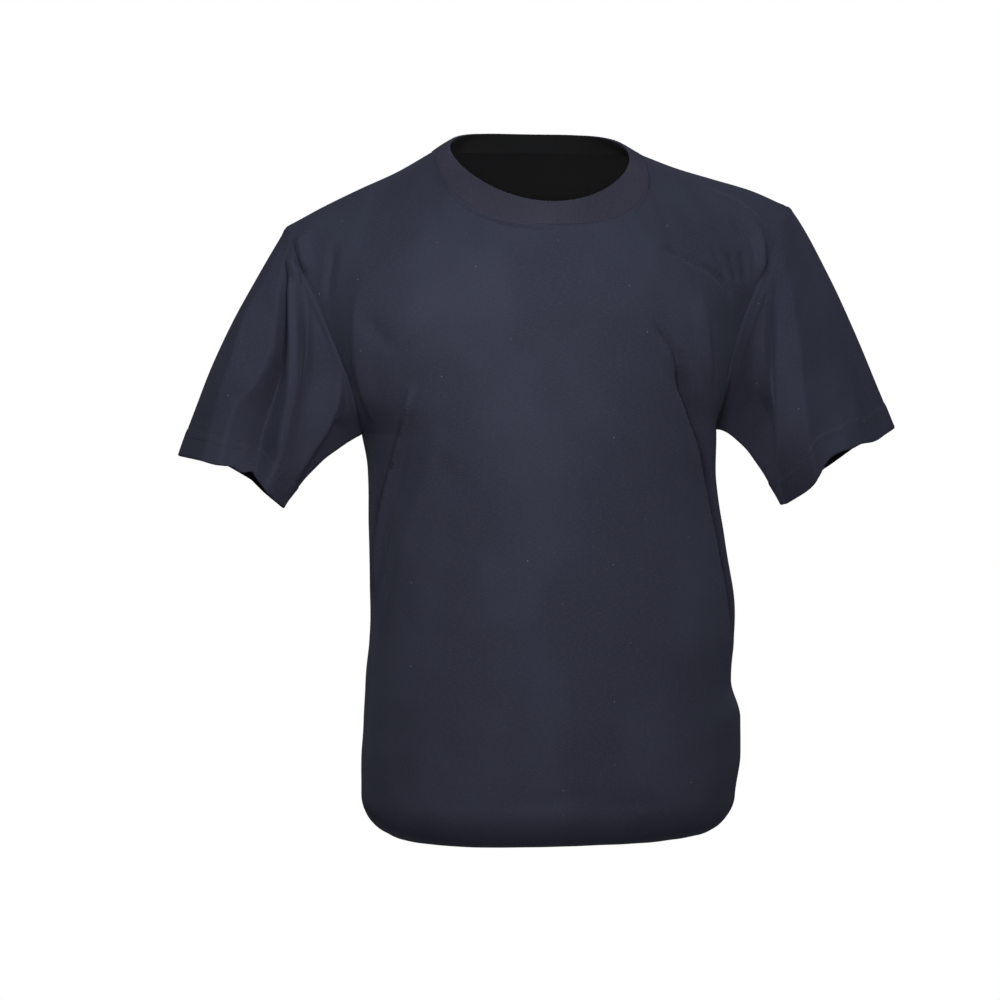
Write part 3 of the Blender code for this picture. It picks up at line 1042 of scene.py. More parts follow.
@dataclass
class Panel(SewnPart):
    """The front or the back of the body, from the hem under it to the shoulder seams.

    Folds die away within side_hold of a side seam and top_hold of the top edge, but run on into
    the armhole, fully from armhole_rise above the underarms. A tuck also moves the cloth aside,
    by tuck_slant of its depth. Seam allowances stand up as ridges below the neck and shoulder
    seams and beside the side seams; the neck's stands higher, by neck_strain times its height,
    at a place across where the seam pulls.
    """

    face: Face
    form: BodyForm
    folds: tuple[Fold, ...]
    tucks: tuple[Tuck, ...]
    ripple_start: float
    side_hold: float = 0.026
    armhole_rise: float = 0.050
    top_hold: float = 0.030
    tuck_slant: float = 0.3
    neck_ridge: Ridge = Ridge(0.0045, 0.002475, 0.0009)
    neck_strain: Ridge = Ridge(-0.045, 0.034, 5.0)
    shoulder_ridge: Ridge = Ridge(0.0045, 0.0027, 0.00036)
    side_ridge: Ridge = Ridge(0.0040, 0.0035, 0.0009)
    side_waves: tuple[float, float] = (0.011, 0.043)

    def lay(self) -> None:
        """Lays the panel's cloth, its columns ordered so that the outside faces out."""
        front = self.face is Face.FRONT
        neck = self.cells.front_neck if front else self.cells.back_neck
        across = columns(self.form.neck_share, self.cells.shoulder, neck)
        points = self.form.grid(across, self.face, self.cells)
        reach = arc_lengths(points, 1)
        middle = int(np.abs(across).argmin())
        reach = reach - reach[:, middle:middle + 1]
        wall = np.full(reach.shape, self.jersey_wall)
        wall[: self.cells.reach + 1] = self.hem_wall
        lift = self.folded(points, reach) + self.puckers(across, len(points))
        drawn = self.drawn_in(points, reach)
        points[:, :, 1] -= self.face.value * drawn
        points[:, :, 0] += self.tuck_slant * drawn
        if not front:
            points, reach, lift = points[:, ::-1], -reach[:, ::-1], lift[:, ::-1]
        self.cloth = Cloth(self.face.key, points, reach, arc_lengths(points, 0), wall)
        self.cloth.lift(lift)

    def folded(self, points: Array, reach: Array) -> Array:
        """How far the folds and ripples lift each point.

        Args:
            points: the smooth grid.
            reach: each point's distance across from the middle.

        Returns:
            The lift of each point, none at the seams.
        """
        height = points[:, :, 2]
        places = reach * MILLIMETRES, height * MILLIMETRES
        lift = sum(fold.lift(*places) for fold in self.folds)
        lift = lift + sum(wave.lift(reach + self.ripple_start, height) for wave in RIPPLES)
        above = smooth_step((height[:, :1] - self.form.underarm) / self.armhole_rise)
        held = (1 - smooth_step(from_sides(reach) / self.side_hold)) * (1 - above)
        from_foot = arc_lengths(points, 0)
        return lift * (1 - held) * smooth_step((from_foot[-1:] - from_foot) / self.top_hold)

    def drawn_in(self, points: Array, reach: Array) -> Array:
        """How far each point is drawn towards the garment's middle, along the armholes.

        Args:
            points: the smooth grid.
            reach: each point's distance across from the middle.

        Returns:
            The depth of the tuck at each point.
        """
        height = points[:, :, 2]
        span = by_side(reach, self.tucks, "_reach", height)
        return by_side(reach, self.tucks, "_depth", height) * roof(from_sides(reach) / span)

    def puckers(self, across: Array, row_count: int) -> Array:
        """Uneven waves of the cloth that is gathered under the body, pushed up into it.

        Args:
            across: the columns' places from -1 to 1.
            row_count: how many rows the panel has.

        Returns:
            The lift of each point, below 0 where it is pushed in.
        """
        around = across * np.pi / 2 if self.face is Face.FRONT else np.pi - across * np.pi / 2
        wave = np.sin(self.form.puckers * around + np.sin(2 * around))
        wave = wave * (1 + np.sin(3 * around + 1) / 2)
        growth = smooth_step(1 - np.arange(row_count) / self.cells.reach)
        return -self.form.pucker_depth * growth[:, None] * (1 + wave[None, :]) / 2

    def edge_relief(self) -> Array:
        """Ridges where seam allowances lie under the cloth.

        Returns:
            How far each point stands out, along the neckline, the shoulders and the sides.
        """
        cloth = self.cloth
        from_top = cloth.along[-1:] - cloth.along
        neck = np.zeros(cloth.wall.shape[1])
        neck[self.cells.shoulder:-self.cells.shoulder] = 1.0
        relief = self.neck_ridge.at(from_top) * neck * (1 + self.neck_strain.at(cloth.across))
        relief += self.shoulder_ridge.at(from_top) * (1 - neck)
        waves = 0.25 + 0.35 * uneven(cloth.along, *self.side_waves)
        return relief + self.side_ridge.at(from_sides(cloth.across)) * waves


@dataclass(frozen=True)
class Hitch:
    """A place where the cuff's edge is drawn up.

    Attributes:
        turn: degrees from the top line towards the front.
        width: how far it reaches to each side, in degrees.
        rise: how far it is drawn up, as a share of the sleeve's length.
    """

    turn: float
    width: float
    rise: float


class Bend(NamedTuple):
    """A crease's turn and lift at a share of the sleeve's length."""

    along: float
    turn: float
    lift: float


@dataclass(frozen=True)
class Crease:
    """A line down a sleeve where one flat stretch of its cloth meets the next.

    Attributes:
        turns: its turn at each station, in degrees.
        lifts: how far it stands out from the round tube at each station, in millimetres.
        stations: the stations' shares of the sleeve's length.
    """

    turns: tuple[float, ...]
    lifts: tuple[float, ...]
    stations: ClassVar[tuple[float, ...]] = (0.0, 0.12, 0.25, 0.40, 0.55, 0.70, 0.85, 1.0)

    def bends(self) -> list[Bend]:
        """Its rows, with lifts in metres."""
        lifts = (lift / MILLIMETRES for lift in self.lifts)
        return [Bend(*row) for row in zip(self.stations, self.turns, lifts)]


@dataclass
class Sleeve(SewnPart):
    """A tube from the armhole to the cuff, hanging in a few creases.

    The cuff's top line lies at out_x and out_z and its underarm line at in_x and in_z, and its
    edge arches up between them, by front_arch and back_arch. The top line bulges out and the
    underarm line is drawn in by under; head is the power that moves this along the sleeve.
    Flatness is how flat the cloth lies between its creases, from flat_from along the sleeve and
    top_round degrees beside the top line. Turns are degrees from the top line by the front.
    """

    hand: Hand
    creases: tuple[Crease, ...]
    folds: tuple[Fold, ...]
    hitches: tuple[Hitch, ...]
    out_x: float
    out_z: float
    in_x: float
    in_z: float
    front_arch: float
    back_arch: float
    head: float
    under: float
    half_depth: float = 0.060
    middle_y: float = -0.006
    bulge: float = 0.009
    length: float = 0.19
    hem_depth: float = 0.024
    hem_step: float = 0.0002
    hem_step_width: float = 0.002
    hitched_from: float = 0.6
    ripple_start: float = 0.3
    ripple_share: float = 0.7
    armhole_ridge: Ridge = Ridge(0.0040, 0.0030, 0.0003)
    armhole_waves: tuple[float, float] = (0.012, 0.05)
    underarm_groove: Ridge = Ridge(180.0, 1.6, -0.0005)
    stitch_groove: Ridge = Ridge(0.0, 0.0011, -0.00018)
    flatness: float = 0.9
    flat_from: float = 0.035
    top_round: float = 26.0
    armhole_hold: float = 0.055
    turns: Array = field(init=False)

    def ring(self, front: Cloth, back: Cloth) -> tuple[Array, Array]:
        """Finds the armhole's edge.

        Args:
            front: the front panel's cloth.
            back: the back panel's cloth.

        Returns:
            Its points from the shoulder round by the front, and their turns in degrees.
        """
        last = self.cells.chest + 1
        right = self.hand is Hand.RIGHT
        front_edge = front.points[-last:, 0 if right else -1]
        back_edge = back.points[-last:, -1 if right else 0]
        turn = 180 * (1 - np.linspace(0, 1, last))
        ring = np.concatenate((front_edge[::-1], back_edge[1:-1]))
        return ring, np.concatenate((turn[::-1], 360 - turn[1:-1]))

    def cuff(self, angle: Array) -> Array:
        """The cuff's edge before it is drawn up.

        Args:
            angle: places round it from the top line by the front, in radians.

        Returns:
            The edge's points.
        """
        share, sine = (1 - np.cos(angle)) / 2, np.sin(angle)
        arch = self.front_arch * sine.clip(0) ** 2 + self.back_arch * (-sine).clip(0) ** 2
        return np.stack((
            self.hand.value * (self.out_x + (self.in_x - self.out_x) * share),
            self.middle_y - self.half_depth * sine,
            self.out_z + (self.in_z - self.out_z) * share + arch,
        ), axis=-1)

    def lay(self, front: Cloth, back: Cloth) -> None:
        """Lays the sleeve's cloth, with its creases and folds.

        Args:
            front: the front panel's cloth.
            back: the back panel's cloth.
        """
        ring, turn = self.ring(front, back)
        angle = np.radians(turn)
        fall = self.cuff(angle) - ring
        along = np.linspace(0, 1, self.cells.sleeve + 1)[:, None]
        rise = sum(hitch.rise * bell(wrapped(turn - hitch.turn, 360) / hitch.width)
                   for hitch in self.hitches)
        drawn = rise * smooth_step((along - self.hitched_from) / (1 - self.hitched_from))
        points = ring + fall * along[:, :, None]
        away = unit(points - points.mean(axis=1, keepdims=True))
        share = (1 - np.cos(angle)) / 2
        bulge = self.bulge * (1 - share) - self.under * share**2
        points = points + away * (bulge * np.sin(np.pi * along**self.head))[:, :, None]
        points = self.creased(points, turn, along) - fall * drawn[:, :, None]
        turns, alongs = (np.array(grid) for grid in np.broadcast_arrays(turn, along))
        lift = self.folded(turns, alongs)
        if self.hand is Hand.RIGHT:
            points, lift, turns = points[:, ::-1], lift[:, ::-1], turns[:, ::-1]
        distance = arc_lengths(points, 0)
        wall = np.where(distance[-1:] - distance < self.hem_depth, self.hem_wall, self.jersey_wall)
        self.turns = turns
        self.cloth = Cloth(self.hand.key, points, arc_lengths(points, 1), distance, wall, True)
        self.cloth.lift(lift)

    def folded(self, turns: Array, alongs: Array) -> Array:
        """How far the folds and ripples lift each point.

        Args:
            turns: each point's degrees from the top line.
            alongs: each point's share of the length.

        Returns:
            The lift of each point, none at the armhole.
        """
        down = alongs * self.length
        lift = sum(fold.lift(turns, down * MILLIMETRES, 360.0) for fold in self.folds)
        around = turns / MILLIMETRES + self.ripple_start
        ripples = sum(wave.lift(around, down) for wave in RIPPLES[1:])
        return (lift + self.ripple_share * ripples) * smooth_step(alongs / self.armhole_hold)

    def creased(self, points: Array, turn: Array, along: Array) -> Array:
        """Lays the cloth nearly flat between its creases.

        Args:
            points: the round tube's grid.
            turn: each column's turn.
            along: each row's share of the length.

        Returns:
            The creased grid.
        """
        away = unit(points - points.mean(axis=1, keepdims=True))
        turns, lifts = (
            np.stack([through(crease.bends(), column, along[:, 0]) for crease in self.creases], -1)
            for column in ("turn", "lift")
        )
        loop = np.append(turn, 360.0)
        flat = np.empty_like(points)
        for index, row in enumerate(points):
            corner = np.concatenate((turns[index], (0.0, 180.0, 360.0)))
            order = corner.argsort()
            lift = np.append(lifts[index], (0.0, 0.0, 0.0))[order, None]
            corner = corner[order]
            place = between(corner, loop, np.concatenate((row, row[:1])))
            out = between(corner, loop, np.concatenate((away[index], away[index, :1])))
            flat[index] = between(turn, corner, place + out * lift)
        from_top = np.minimum(turn, 360 - turn) / self.top_round
        weight = self.flatness * smooth_step(along / self.flat_from) * smooth_step(from_top)
        moved = (flat - points) * weight[:, :, None]
        for _ in range(2):
            moved = (np.roll(moved, 1, axis=1) + 2 * moved + np.roll(moved, -1, axis=1)) / 4
        moved[1:-1] = (moved[:-2] + 2 * moved[1:-1] + moved[2:]) / 4
        return points + moved

    def edge_relief(self) -> Array:
        """The ridge at the armhole, the underarm seam's groove, the hem's step and its stitch rows.

        Returns:
            How far each point stands out.
        """
        cloth = self.cloth
        from_cuff = cloth.along[-1:] - cloth.along
        relief = self.armhole_ridge.at(cloth.along) * (1 + uneven(cloth.across, *self.armhole_waves))
        relief += self.underarm_groove.at(self.turns)
        relief += self.hem_step * smooth_step((self.hem_depth - from_cuff) / self.hem_step_width)
        return relief + sum(self.stitch_groove.at(from_cuff - row) for row in self.hem_rows)


@dataclass
class NeckBand(SewnPart):
    """The 1x1 rib band, folded double and standing on the neckline.

    Its rim is 2 x half wide and lies between front and back along Y, and rises from front_top
    to back_top. The band's middle stands out by its crown. Ribs grow from the seam over
    rib_foot of its width, and fade over rib_fade before rib_end.
    """

    half: float = 0.086
    front: float = -0.077
    back: float = 0.047
    front_top: float = -0.051
    back_top: float = 0.021
    rise_power: float = 1.8
    wall: float = 0.0026
    crown: float = 0.0012
    ribs: int = 212
    rib_height: float = 0.00042
    rib_power: float = 0.8
    rib_foot: float = 0.14
    rib_end: float = 1.06
    rib_fade: float = 0.1
    fabric: ClassVar[str] = "rib"
    hem_rows: ClassVar[tuple[float, ...]] = ()

    def neckline(self, front: Cloth, back: Cloth) -> tuple[Array, Array]:
        """Finds the neckline, from the middle of the front round by the left.

        Args:
            front: the front panel's cloth.
            back: the back panel's cloth.

        Returns:
            Its points, the first once more at the end, and their turns in degrees.
        """
        ends = self.cells.shoulder
        front_line, back_line = (cloth.points[-1, ends:-ends] for cloth in (front, back))
        half = self.cells.front_neck // 2
        ring = np.concatenate((front_line[half:], back_line[1:-1], front_line[: half + 1]))
        quarter = np.linspace(0, 90, half + 1)
        around = np.linspace(90, 270, self.cells.back_neck + 1)
        return ring, np.concatenate((quarter, around[1:-1], 360 - quarter[::-1]))

    def lay(self, front: Cloth, back: Cloth) -> None:
        """Lays the band's cloth.

        Args:
            front: the front panel's cloth.
            back: the back panel's cloth.
        """
        ring, degrees = self.neckline(front, back)
        run = run_along(ring)
        place = np.linspace(0, run[-1], self.ribs * self.cells.rib_samples, endpoint=False)
        ring = between(place, run, ring)
        angle = np.radians(np.interp(place, run, degrees))
        rise = 1 - ((1 + np.cos(angle)) / 2) ** self.rise_power
        middle, depth = (self.front + self.back) / 2, (self.back - self.front) / 2
        rim = np.stack((
            self.half * np.sin(angle),
            middle - depth * np.cos(angle),
            self.front_top + (self.back_top - self.front_top) * rise,
        ), axis=-1)
        along = np.linspace(0, 1, self.cells.band + 1)[:, None]
        points = ring + (rim - ring) * along[:, :, None]
        wall = np.full(points.shape[:2], self.wall)
        across = np.broadcast_to(place, wall.shape)
        self.cloth = Cloth("collar", points, across, arc_lengths(points, 0), wall, True)
        self.cloth.lift(self.crown * np.sin(np.pi * along) * np.ones(len(place)))

    def edge_relief(self) -> Array:
        """The ribs, which die away at the neck seam and at the fold.

        Returns:
            How far each point stands out, below 0 in the gaps.
        """
        along = np.linspace(0, 1, self.cells.band + 1)[:, None]
        turn = np.arange(self.cloth.wall.shape[1]) / self.cells.rib_samples
        wave = 0.5 + 0.5 * np.cos(math.tau * turn)
        growth = smooth_step(along / self.rib_foot) * smooth_step((self.rib_end - along) / self.rib_fade)
        return (wave ** self.rib_power - 0.5) * self.rib_height * growth


# ---------------- shader expressions


def operator(operation: str, swapped: bool = False) -> Callable[["Wire", Any], "Wire"]:
    """Makes a Python operator from a Math node's operation.

    Args:
        operation: the node's operation.
        swapped: whether the other value comes first.

    Returns:
        The operator's method.
    """
    def apply(wire: "Wire", other: Any) -> "Wire":
        """Adds the node for a wire and another value."""
        return wire._math(operation, *((other, wire) if swapped else (wire, other)))
    return apply


@dataclass(frozen=True, eq=False)
class Wire:
    """A shader value that Python arithmetic carries on into Math nodes."""

    nodes: "Nodes"
    socket: bpy.types.NodeSocket

    def _math(self, operation: str, *values: Any) -> "Wire":
        """One Math node, or a Vector Math node where this value is a vector."""
        kind = "ShaderNodeVectorMath" if self.socket.type == "VECTOR" else "ShaderNodeMath"
        return self.nodes.node(kind, {"operation": operation}, values)

    __add__ = __radd__ = operator("ADD")
    __mul__ = __rmul__ = operator("MULTIPLY")
    __sub__, __rsub__ = operator("SUBTRACT"), operator("SUBTRACT", swapped=True)
    __truediv__, __rtruediv__ = operator("DIVIDE"), operator("DIVIDE", swapped=True)
    __lt__, __gt__ = operator("LESS_THAN"), operator("GREATER_THAN")

    def __abs__(self) -> "Wire":
        """This value without its sign."""
        return self._math("ABSOLUTE", self)

    def fraction(self) -> "Wire":
        """What is left above the next lower whole number."""
        return self._math("FRACT", self)

    def wave(self) -> "Wire":
        """A wave between 0 and 1 that repeats at whole numbers."""
        return self._math("SINE", self * math.tau) * 0.5 + 0.5

    def ramp(self, low: float, high: float) -> "Wire":
        """0 at low, 1 at high, and smooth between."""
        settings = {"interpolation_type": "SMOOTHSTEP"}
        return self.nodes.node("ShaderNodeMapRange", settings, (self, low, high, 0.0, 1.0))

    def mix(self, low: Any, high: Any) -> "Wire":
        """A colour between low, where this value is 0, and high, where it is 1."""
        settings = {"data_type": "RGBA", "blend_type": "MIX"}
        return self.nodes.node("ShaderNodeMix", settings, {"Factor": self, 6: low, 7: high}, 2)

    def other(self, output: str) -> "Wire":
        """Another output of the node that this value comes from."""
        return Wire(self.nodes, self.socket.node.outputs[output])

    def parts(self) -> tuple["Wire", "Wire"]:
        """A vector's first two parts."""
        first = self.nodes.node("ShaderNodeSeparateXYZ", {}, (self,), "X")
        return first, first.other("Y")


@dataclass
class Nodes:
    """A node tree that is built from expressions."""

    tree: bpy.types.NodeTree

    def node(self, kind: str, settings: dict[str, Any], values: Any = (), output: Any = 0) -> Wire:
        """Adds a node of any kind.

        Args:
            kind: the node's type name.
            settings: its settings, which are set first.
            values: numbers, colours or wires for its inputs, in order or by name or index.
            output: the name or index of the output to use.

        Returns:
            The wire of that output.
        """
        made = self.tree.nodes.new(kind)
        for key, value in settings.items():
            setattr(made, key, value)
        named = values if isinstance(values, dict) else dict(enumerate(values))
        for key, value in named.items():
            self.feed(made.inputs[key], value)
        return Wire(self, made.outputs[output])

    def feed(self, socket: bpy.types.NodeSocket, value: Any) -> None:
        """Gives a socket its value.

        Args:
            socket: the socket of a node.
            value: a wire to link to it, or a number or colour to set on it.
        """
        if isinstance(value, Wire):
            self.tree.links.new(value.socket, socket)
        else:
            socket.default_value = value


class Shader(Nodes):
    """A material's node tree and its surface."""

    def __init__(self, name: str) -> None:
        """Starts a material.

        Args:
            name: its name.
        """
        self.material = bpy.data.materials.new(name)
        self.material.use_nodes = True
        super().__init__(self.material.node_tree)

    def finish(self, **values: Any) -> bpy.types.Material:
        """Feeds the surface's sockets.

        Args:
            values: what each socket gets; an underscore in its name stands for a space.

        Returns:
            The material.
        """
        surface = self.tree.nodes["Principled BSDF"]
        for key, value in values.items():
            self.feed(surface.inputs[key.replace("_", " ")], value)
        return self.material


def colour(base: Sequence[float], share: float = 1.0, more: float = 0.0) -> tuple[float, ...]:
    """An opaque colour: a share of a base colour, and a little more of each part."""
    return (*(part * share + more for part in base), 1.0)


# ---------------- finishes


@dataclass(frozen=True)
class Jersey:
    """Single jersey knit: fine wales, pale heather flecks and a little lint.

    Attributes:
        name: the material's name.
        base: the cloth's colour.
        fleck: how much the heather flecks lighten it.
        lint: share of the places that may hold a speck that do hold one.
        wale: width of a column of stitches, in metres.
        course: height of a row of stitches, in metres.
        height: how far the stitches stand out, in metres.
        sheen: weight of the soft glow of loose fibres at grazing angles.
        shade: share of the base colour that is left in the gaps between loops, as painted shade, and in
            the fibres' random darker grains.
        fleck_size: width and height of a fleck, in metres.
        fibre_size: the same for the fibres' finer unevenness.
        patch_size: the same for the broad patches that wash and wear leave.
        lint_spacing: distance between the places that may hold a speck.
        lint_size: the smallest speck's size and how much larger others get, in spacings.
        lint_colour: a speck's colour.
        lint_share: how much of that colour a speck shows.
        fleck_share: how much of the paler colour a fleck shows.
        patch_share: how much of it a patch shows.
        glow: the loose fibres' colour.
    """

    name: str
    base: tuple[float, float, float]
    fleck: float = 0.55
    lint: float = 0.030
    wale: float = 0.0012
    course: float = 0.0010
    height: float = 0.00016
    sheen: float = 0.07
    shade: float = 0.72
    fleck_size: tuple[float, float] = (0.0046, 0.0011)
    fibre_size: tuple[float, float] = (0.0016, 0.0011)
    patch_size: tuple[float, float] = (0.11, 0.16)
    lint_spacing: float = 0.016
    lint_size: tuple[float, float] = (0.018, 0.024)
    lint_colour: tuple[float, float, float] = (0.26, 0.26, 0.29)
    lint_share: float = 0.6
    fleck_share: float = 0.3
    patch_share: float = 0.22
    glow: tuple[float, float, float] = (0.62, 0.70, 1.0)

    def place(self, shader: Shader, across: float, along: float) -> Wire:
        """The place on the cloth, in repeats of the given sizes."""
        return shader.node("ShaderNodeUVMap", {"uv_map": "cloth"}) * (1 / across, 1 / along, 1.0)

    def noise(self, shader: Shader, size: tuple[float, float], detail: float) -> Wire:
        """Soft noise over the cloth, from 0 to 1, in grains of a size."""
        values = {"Vector": self.place(shader, *size), "Scale": 1.0, "Detail": detail, "Roughness": 0.55}
        return shader.node("ShaderNodeTexNoise", {"noise_dimensions": "2D"}, values)

    def stitches(self, shader: Shader) -> Wire:
        """Makes the V stitches.

        Args:
            shader: the material's tree.

        Returns:
            Their height, from 0 in the gaps to 1 on the loops.
        """
        column, row = self.place(shader, self.wale, self.course).parts()
        side = abs(column.fraction() - 0.5) * 2.0
        loop = (row + side * 0.7).wave()
        return (loop * 0.55 + side.ramp(0.0, 0.55) * 0.45) * (1.0 - side.ramp(0.82, 1.0) * 0.6)

    def specks(self, shader: Shader) -> Wire:
        """Makes the sparse specks of lint.

        Args:
            shader: the material's tree.

        Returns:
            1 on the specks, and 0 elsewhere.
        """
        settings = {"voronoi_dimensions": "2D", "feature": "F1"}
        values = {"Vector": self.place(shader, self.lint_spacing, self.lint_spacing), "Scale": 1.0}
        near = shader.node("ShaderNodeTexVoronoi", settings, values, "Distance")
        chance, more = near.other("Color").parts()
        size = self.lint_size[0] + more * self.lint_size[1]
        return (1.0 - (near / size).ramp(0.6, 1.0)) * (chance < self.lint)

    def material(self) -> bpy.types.Material:
        """Builds the finish.

        Returns:
            Its material.
        """
        shader = Shader(self.name)
        flecks = self.noise(shader, self.fleck_size, 3.0).ramp(0.50, 0.82)
        fibres = self.noise(shader, self.fibre_size, 1.0).ramp(0.30, 0.75)
        patches = self.noise(shader, self.patch_size, 2.0).ramp(0.30, 0.70)
        stitch = self.stitches(shader)
        specks = self.specks(shader)
        dark, pale = colour(self.base, self.shade), colour(self.base, 1 + self.fleck, 0.006)
        # painted shade: the gaps between loops, low in the stitch height, are darkened; the fibres add
        # random darker grains
        ground = (stitch * 0.35 + 0.65).mix(dark, fibres.mix(dark, colour(self.base)))
        ground = (patches * self.patch_share).mix(ground, pale)
        ground = (flecks * self.fleck_share).mix(ground, pale)
        height = stitch + flecks * 0.5 + specks * 2.0
        bump = {"Strength": 0.55, "Distance": self.height, "Height": height}
        return shader.finish(
            Base_Color=(specks * self.lint_share).mix(ground, colour(self.lint_colour)),
            Roughness=0.86 + fibres * 0.10,
            Normal=shader.node("ShaderNodeBump", {}, bump),
            Sheen_Weight=self.sheen,
            Sheen_Roughness=0.42,
            Sheen_Tint=colour(self.glow),
            Specular_IOR_Level=0.22,
        )


@dataclass(frozen=True)
class Rib(Jersey):
    """Rib knit: the ribs are in the cloth's form, and the stitches lie along them."""

    wale: float = 0.0013
    height: float = 0.00012


@dataclass(frozen=True)
class Inside(Jersey):
    """The purl side of the knit, which shows only in shade."""

    fleck: float = 0.15
    lint: float = 0.0
    sheen: float = 0.04

    def stitches(self, shader: Shader) -> Wire:
        """The height of low rows of purl loops, from 0 in the gaps to 1 on the loops."""
        column, row = self.place(shader, self.wale, self.course).parts()
        return (row + (column.wave() * 0.36 - 0.18)).wave()


@dataclass(frozen=True)
class Thread:
    """Spun sewing thread, twisted and slightly glossy.

    Attributes:
        name: the material's name.
        base: the thread's colour.
        twist: length of a turn of its plies, in metres.
        groove: depth between the plies, in metres.
    """

    name: str
    base: tuple[float, float, float]
    twist: float = 0.0009
    groove: float = 0.0001

    def material(self) -> bpy.types.Material:
        """Builds the finish.

        Returns:
            Its material.
        """
        shader = Shader(self.name)
        place = shader.node("ShaderNodeTexCoord", {}, output="Object") * ((1 / self.twist,) * 3)
        settings = {"wave_type": "BANDS", "bands_direction": "DIAGONAL"}
        ply = shader.node("ShaderNodeTexWave", settings, {"Vector": place, "Scale": 1.0}, 1)
        return shader.finish(
            # painted shade: the grooves between the plies are darkened to 0.6 of the thread's colour
            Base_Color=ply.mix(colour(self.base, 0.6), colour(self.base)),
            Roughness=0.55 + ply * 0.15,
            Normal=shader.node("ShaderNodeBump", {}, {"Distance": self.groove, "Height": ply}),
            Sheen_Weight=0.1,
        )


@dataclass(frozen=True)
class Paint:
    """The stage's even, pale finish, with a faint grain that leaves a share of its colour."""

    name: str
    base: tuple[float, float, float]
    shade: float = 0.985

    def material(self) -> bpy.types.Material:
        """Builds the finish.

        Returns:
            Its material.
        """
        shader = Shader(self.name)
        place = shader.node("ShaderNodeTexCoord", {}, output="Object")
        grain = shader.node("ShaderNodeTexNoise", {}, {"Vector": place, "Scale": 3.0})
        paint = grain.mix(colour(self.base, self.shade), colour(self.base))
        return shader.finish(Base_Color=paint, Roughness=0.9)


@dataclass(frozen=True)
class Wardrobe:
    """The finishes that the parts share; both insides get a near-black colour, far darker than the navy
    cloth, as painted shade.
    """

    jersey: Jersey = Jersey("navy_jersey", (0.0296, 0.0322, 0.0545))
    # painted shade: the jersey's inside gets a near-black colour, darker than the navy cloth it is
    inside: Inside = Inside("navy_jersey_inside", (0.0112, 0.0102, 0.0120))
    rib: Rib = Rib("navy_rib", (0.0312, 0.0314, 0.0500))
    # painted shade: the band's inside gets an almost black colour, so the neck hole reads as deep shade
    band_inside_painted_shade: Inside = Inside("navy_rib_inside", (0.0026, 0.0024, 0.0028))
    thread: Thread = Thread("navy_thread", (0.0150, 0.0156, 0.0255))

    def knits(self) -> dict[str, tuple[bpy.types.Material, bpy.types.Material]]:
        """Each fabric's outside and inside material."""
        return {
            "jersey": (self.jersey.material(), self.inside.material()),
            "rib": (self.rib.material(), self.band_inside_painted_shade.material()),
        }


# ---------------- stage


def stand(thing: bpy.types.Object, target: Vector, bearing: float, elevation: float,
          distance: float) -> None:
    """Stands a lamp or a camera away from a target, and turns it to face the target.

    Args:
        thing: the lamp or camera.
        target: the place that it faces.
        bearing: degrees from straight in front of the chest towards the wearer's left.
        elevation: degrees above level.
        distance: how far it stands from the target.
    """
    turn, tilt = math.radians(bearing), math.radians(elevation)
    level = math.cos(tilt)
    away = Vector((math.sin(turn) * level, -math.cos(turn) * level, math.sin(tilt)))
    thing.location = target + away * distance
    thing.rotation_euler = (-away).to_track_quat("-Z", "Y").to_euler()


@dataclass(frozen=True)
class Lamp:
    """A soft square studio light that faces the garment's middle.

    Attributes:
        name: the light's name.
        bearing: degrees from straight in front of the chest towards the wearer's left.
        elevation: degrees above level.
        distance: how far it stands from its target, in metres.
        size: the side of its square, in metres.
        power: its power, in watts.
        tint: its colour.
    """

    name: str
    bearing: float
    elevation: float
    distance: float
    size: float
    power: float
    tint: tuple[float, float, float] = (1.0, 1.0, 1.0)

    def add(self, target: Vector) -> None:
        """Hangs the light.

        Args:
            target: the place that it faces.
        """
        data = bpy.data.lights.new(self.name, "AREA")
        data.size, data.energy, data.color = self.size, self.power, self.tint
        lamp = add_to_scene(self.name, data)
        stand(lamp, target, self.bearing, self.elevation, self.distance)
        lamp.visible_camera = False


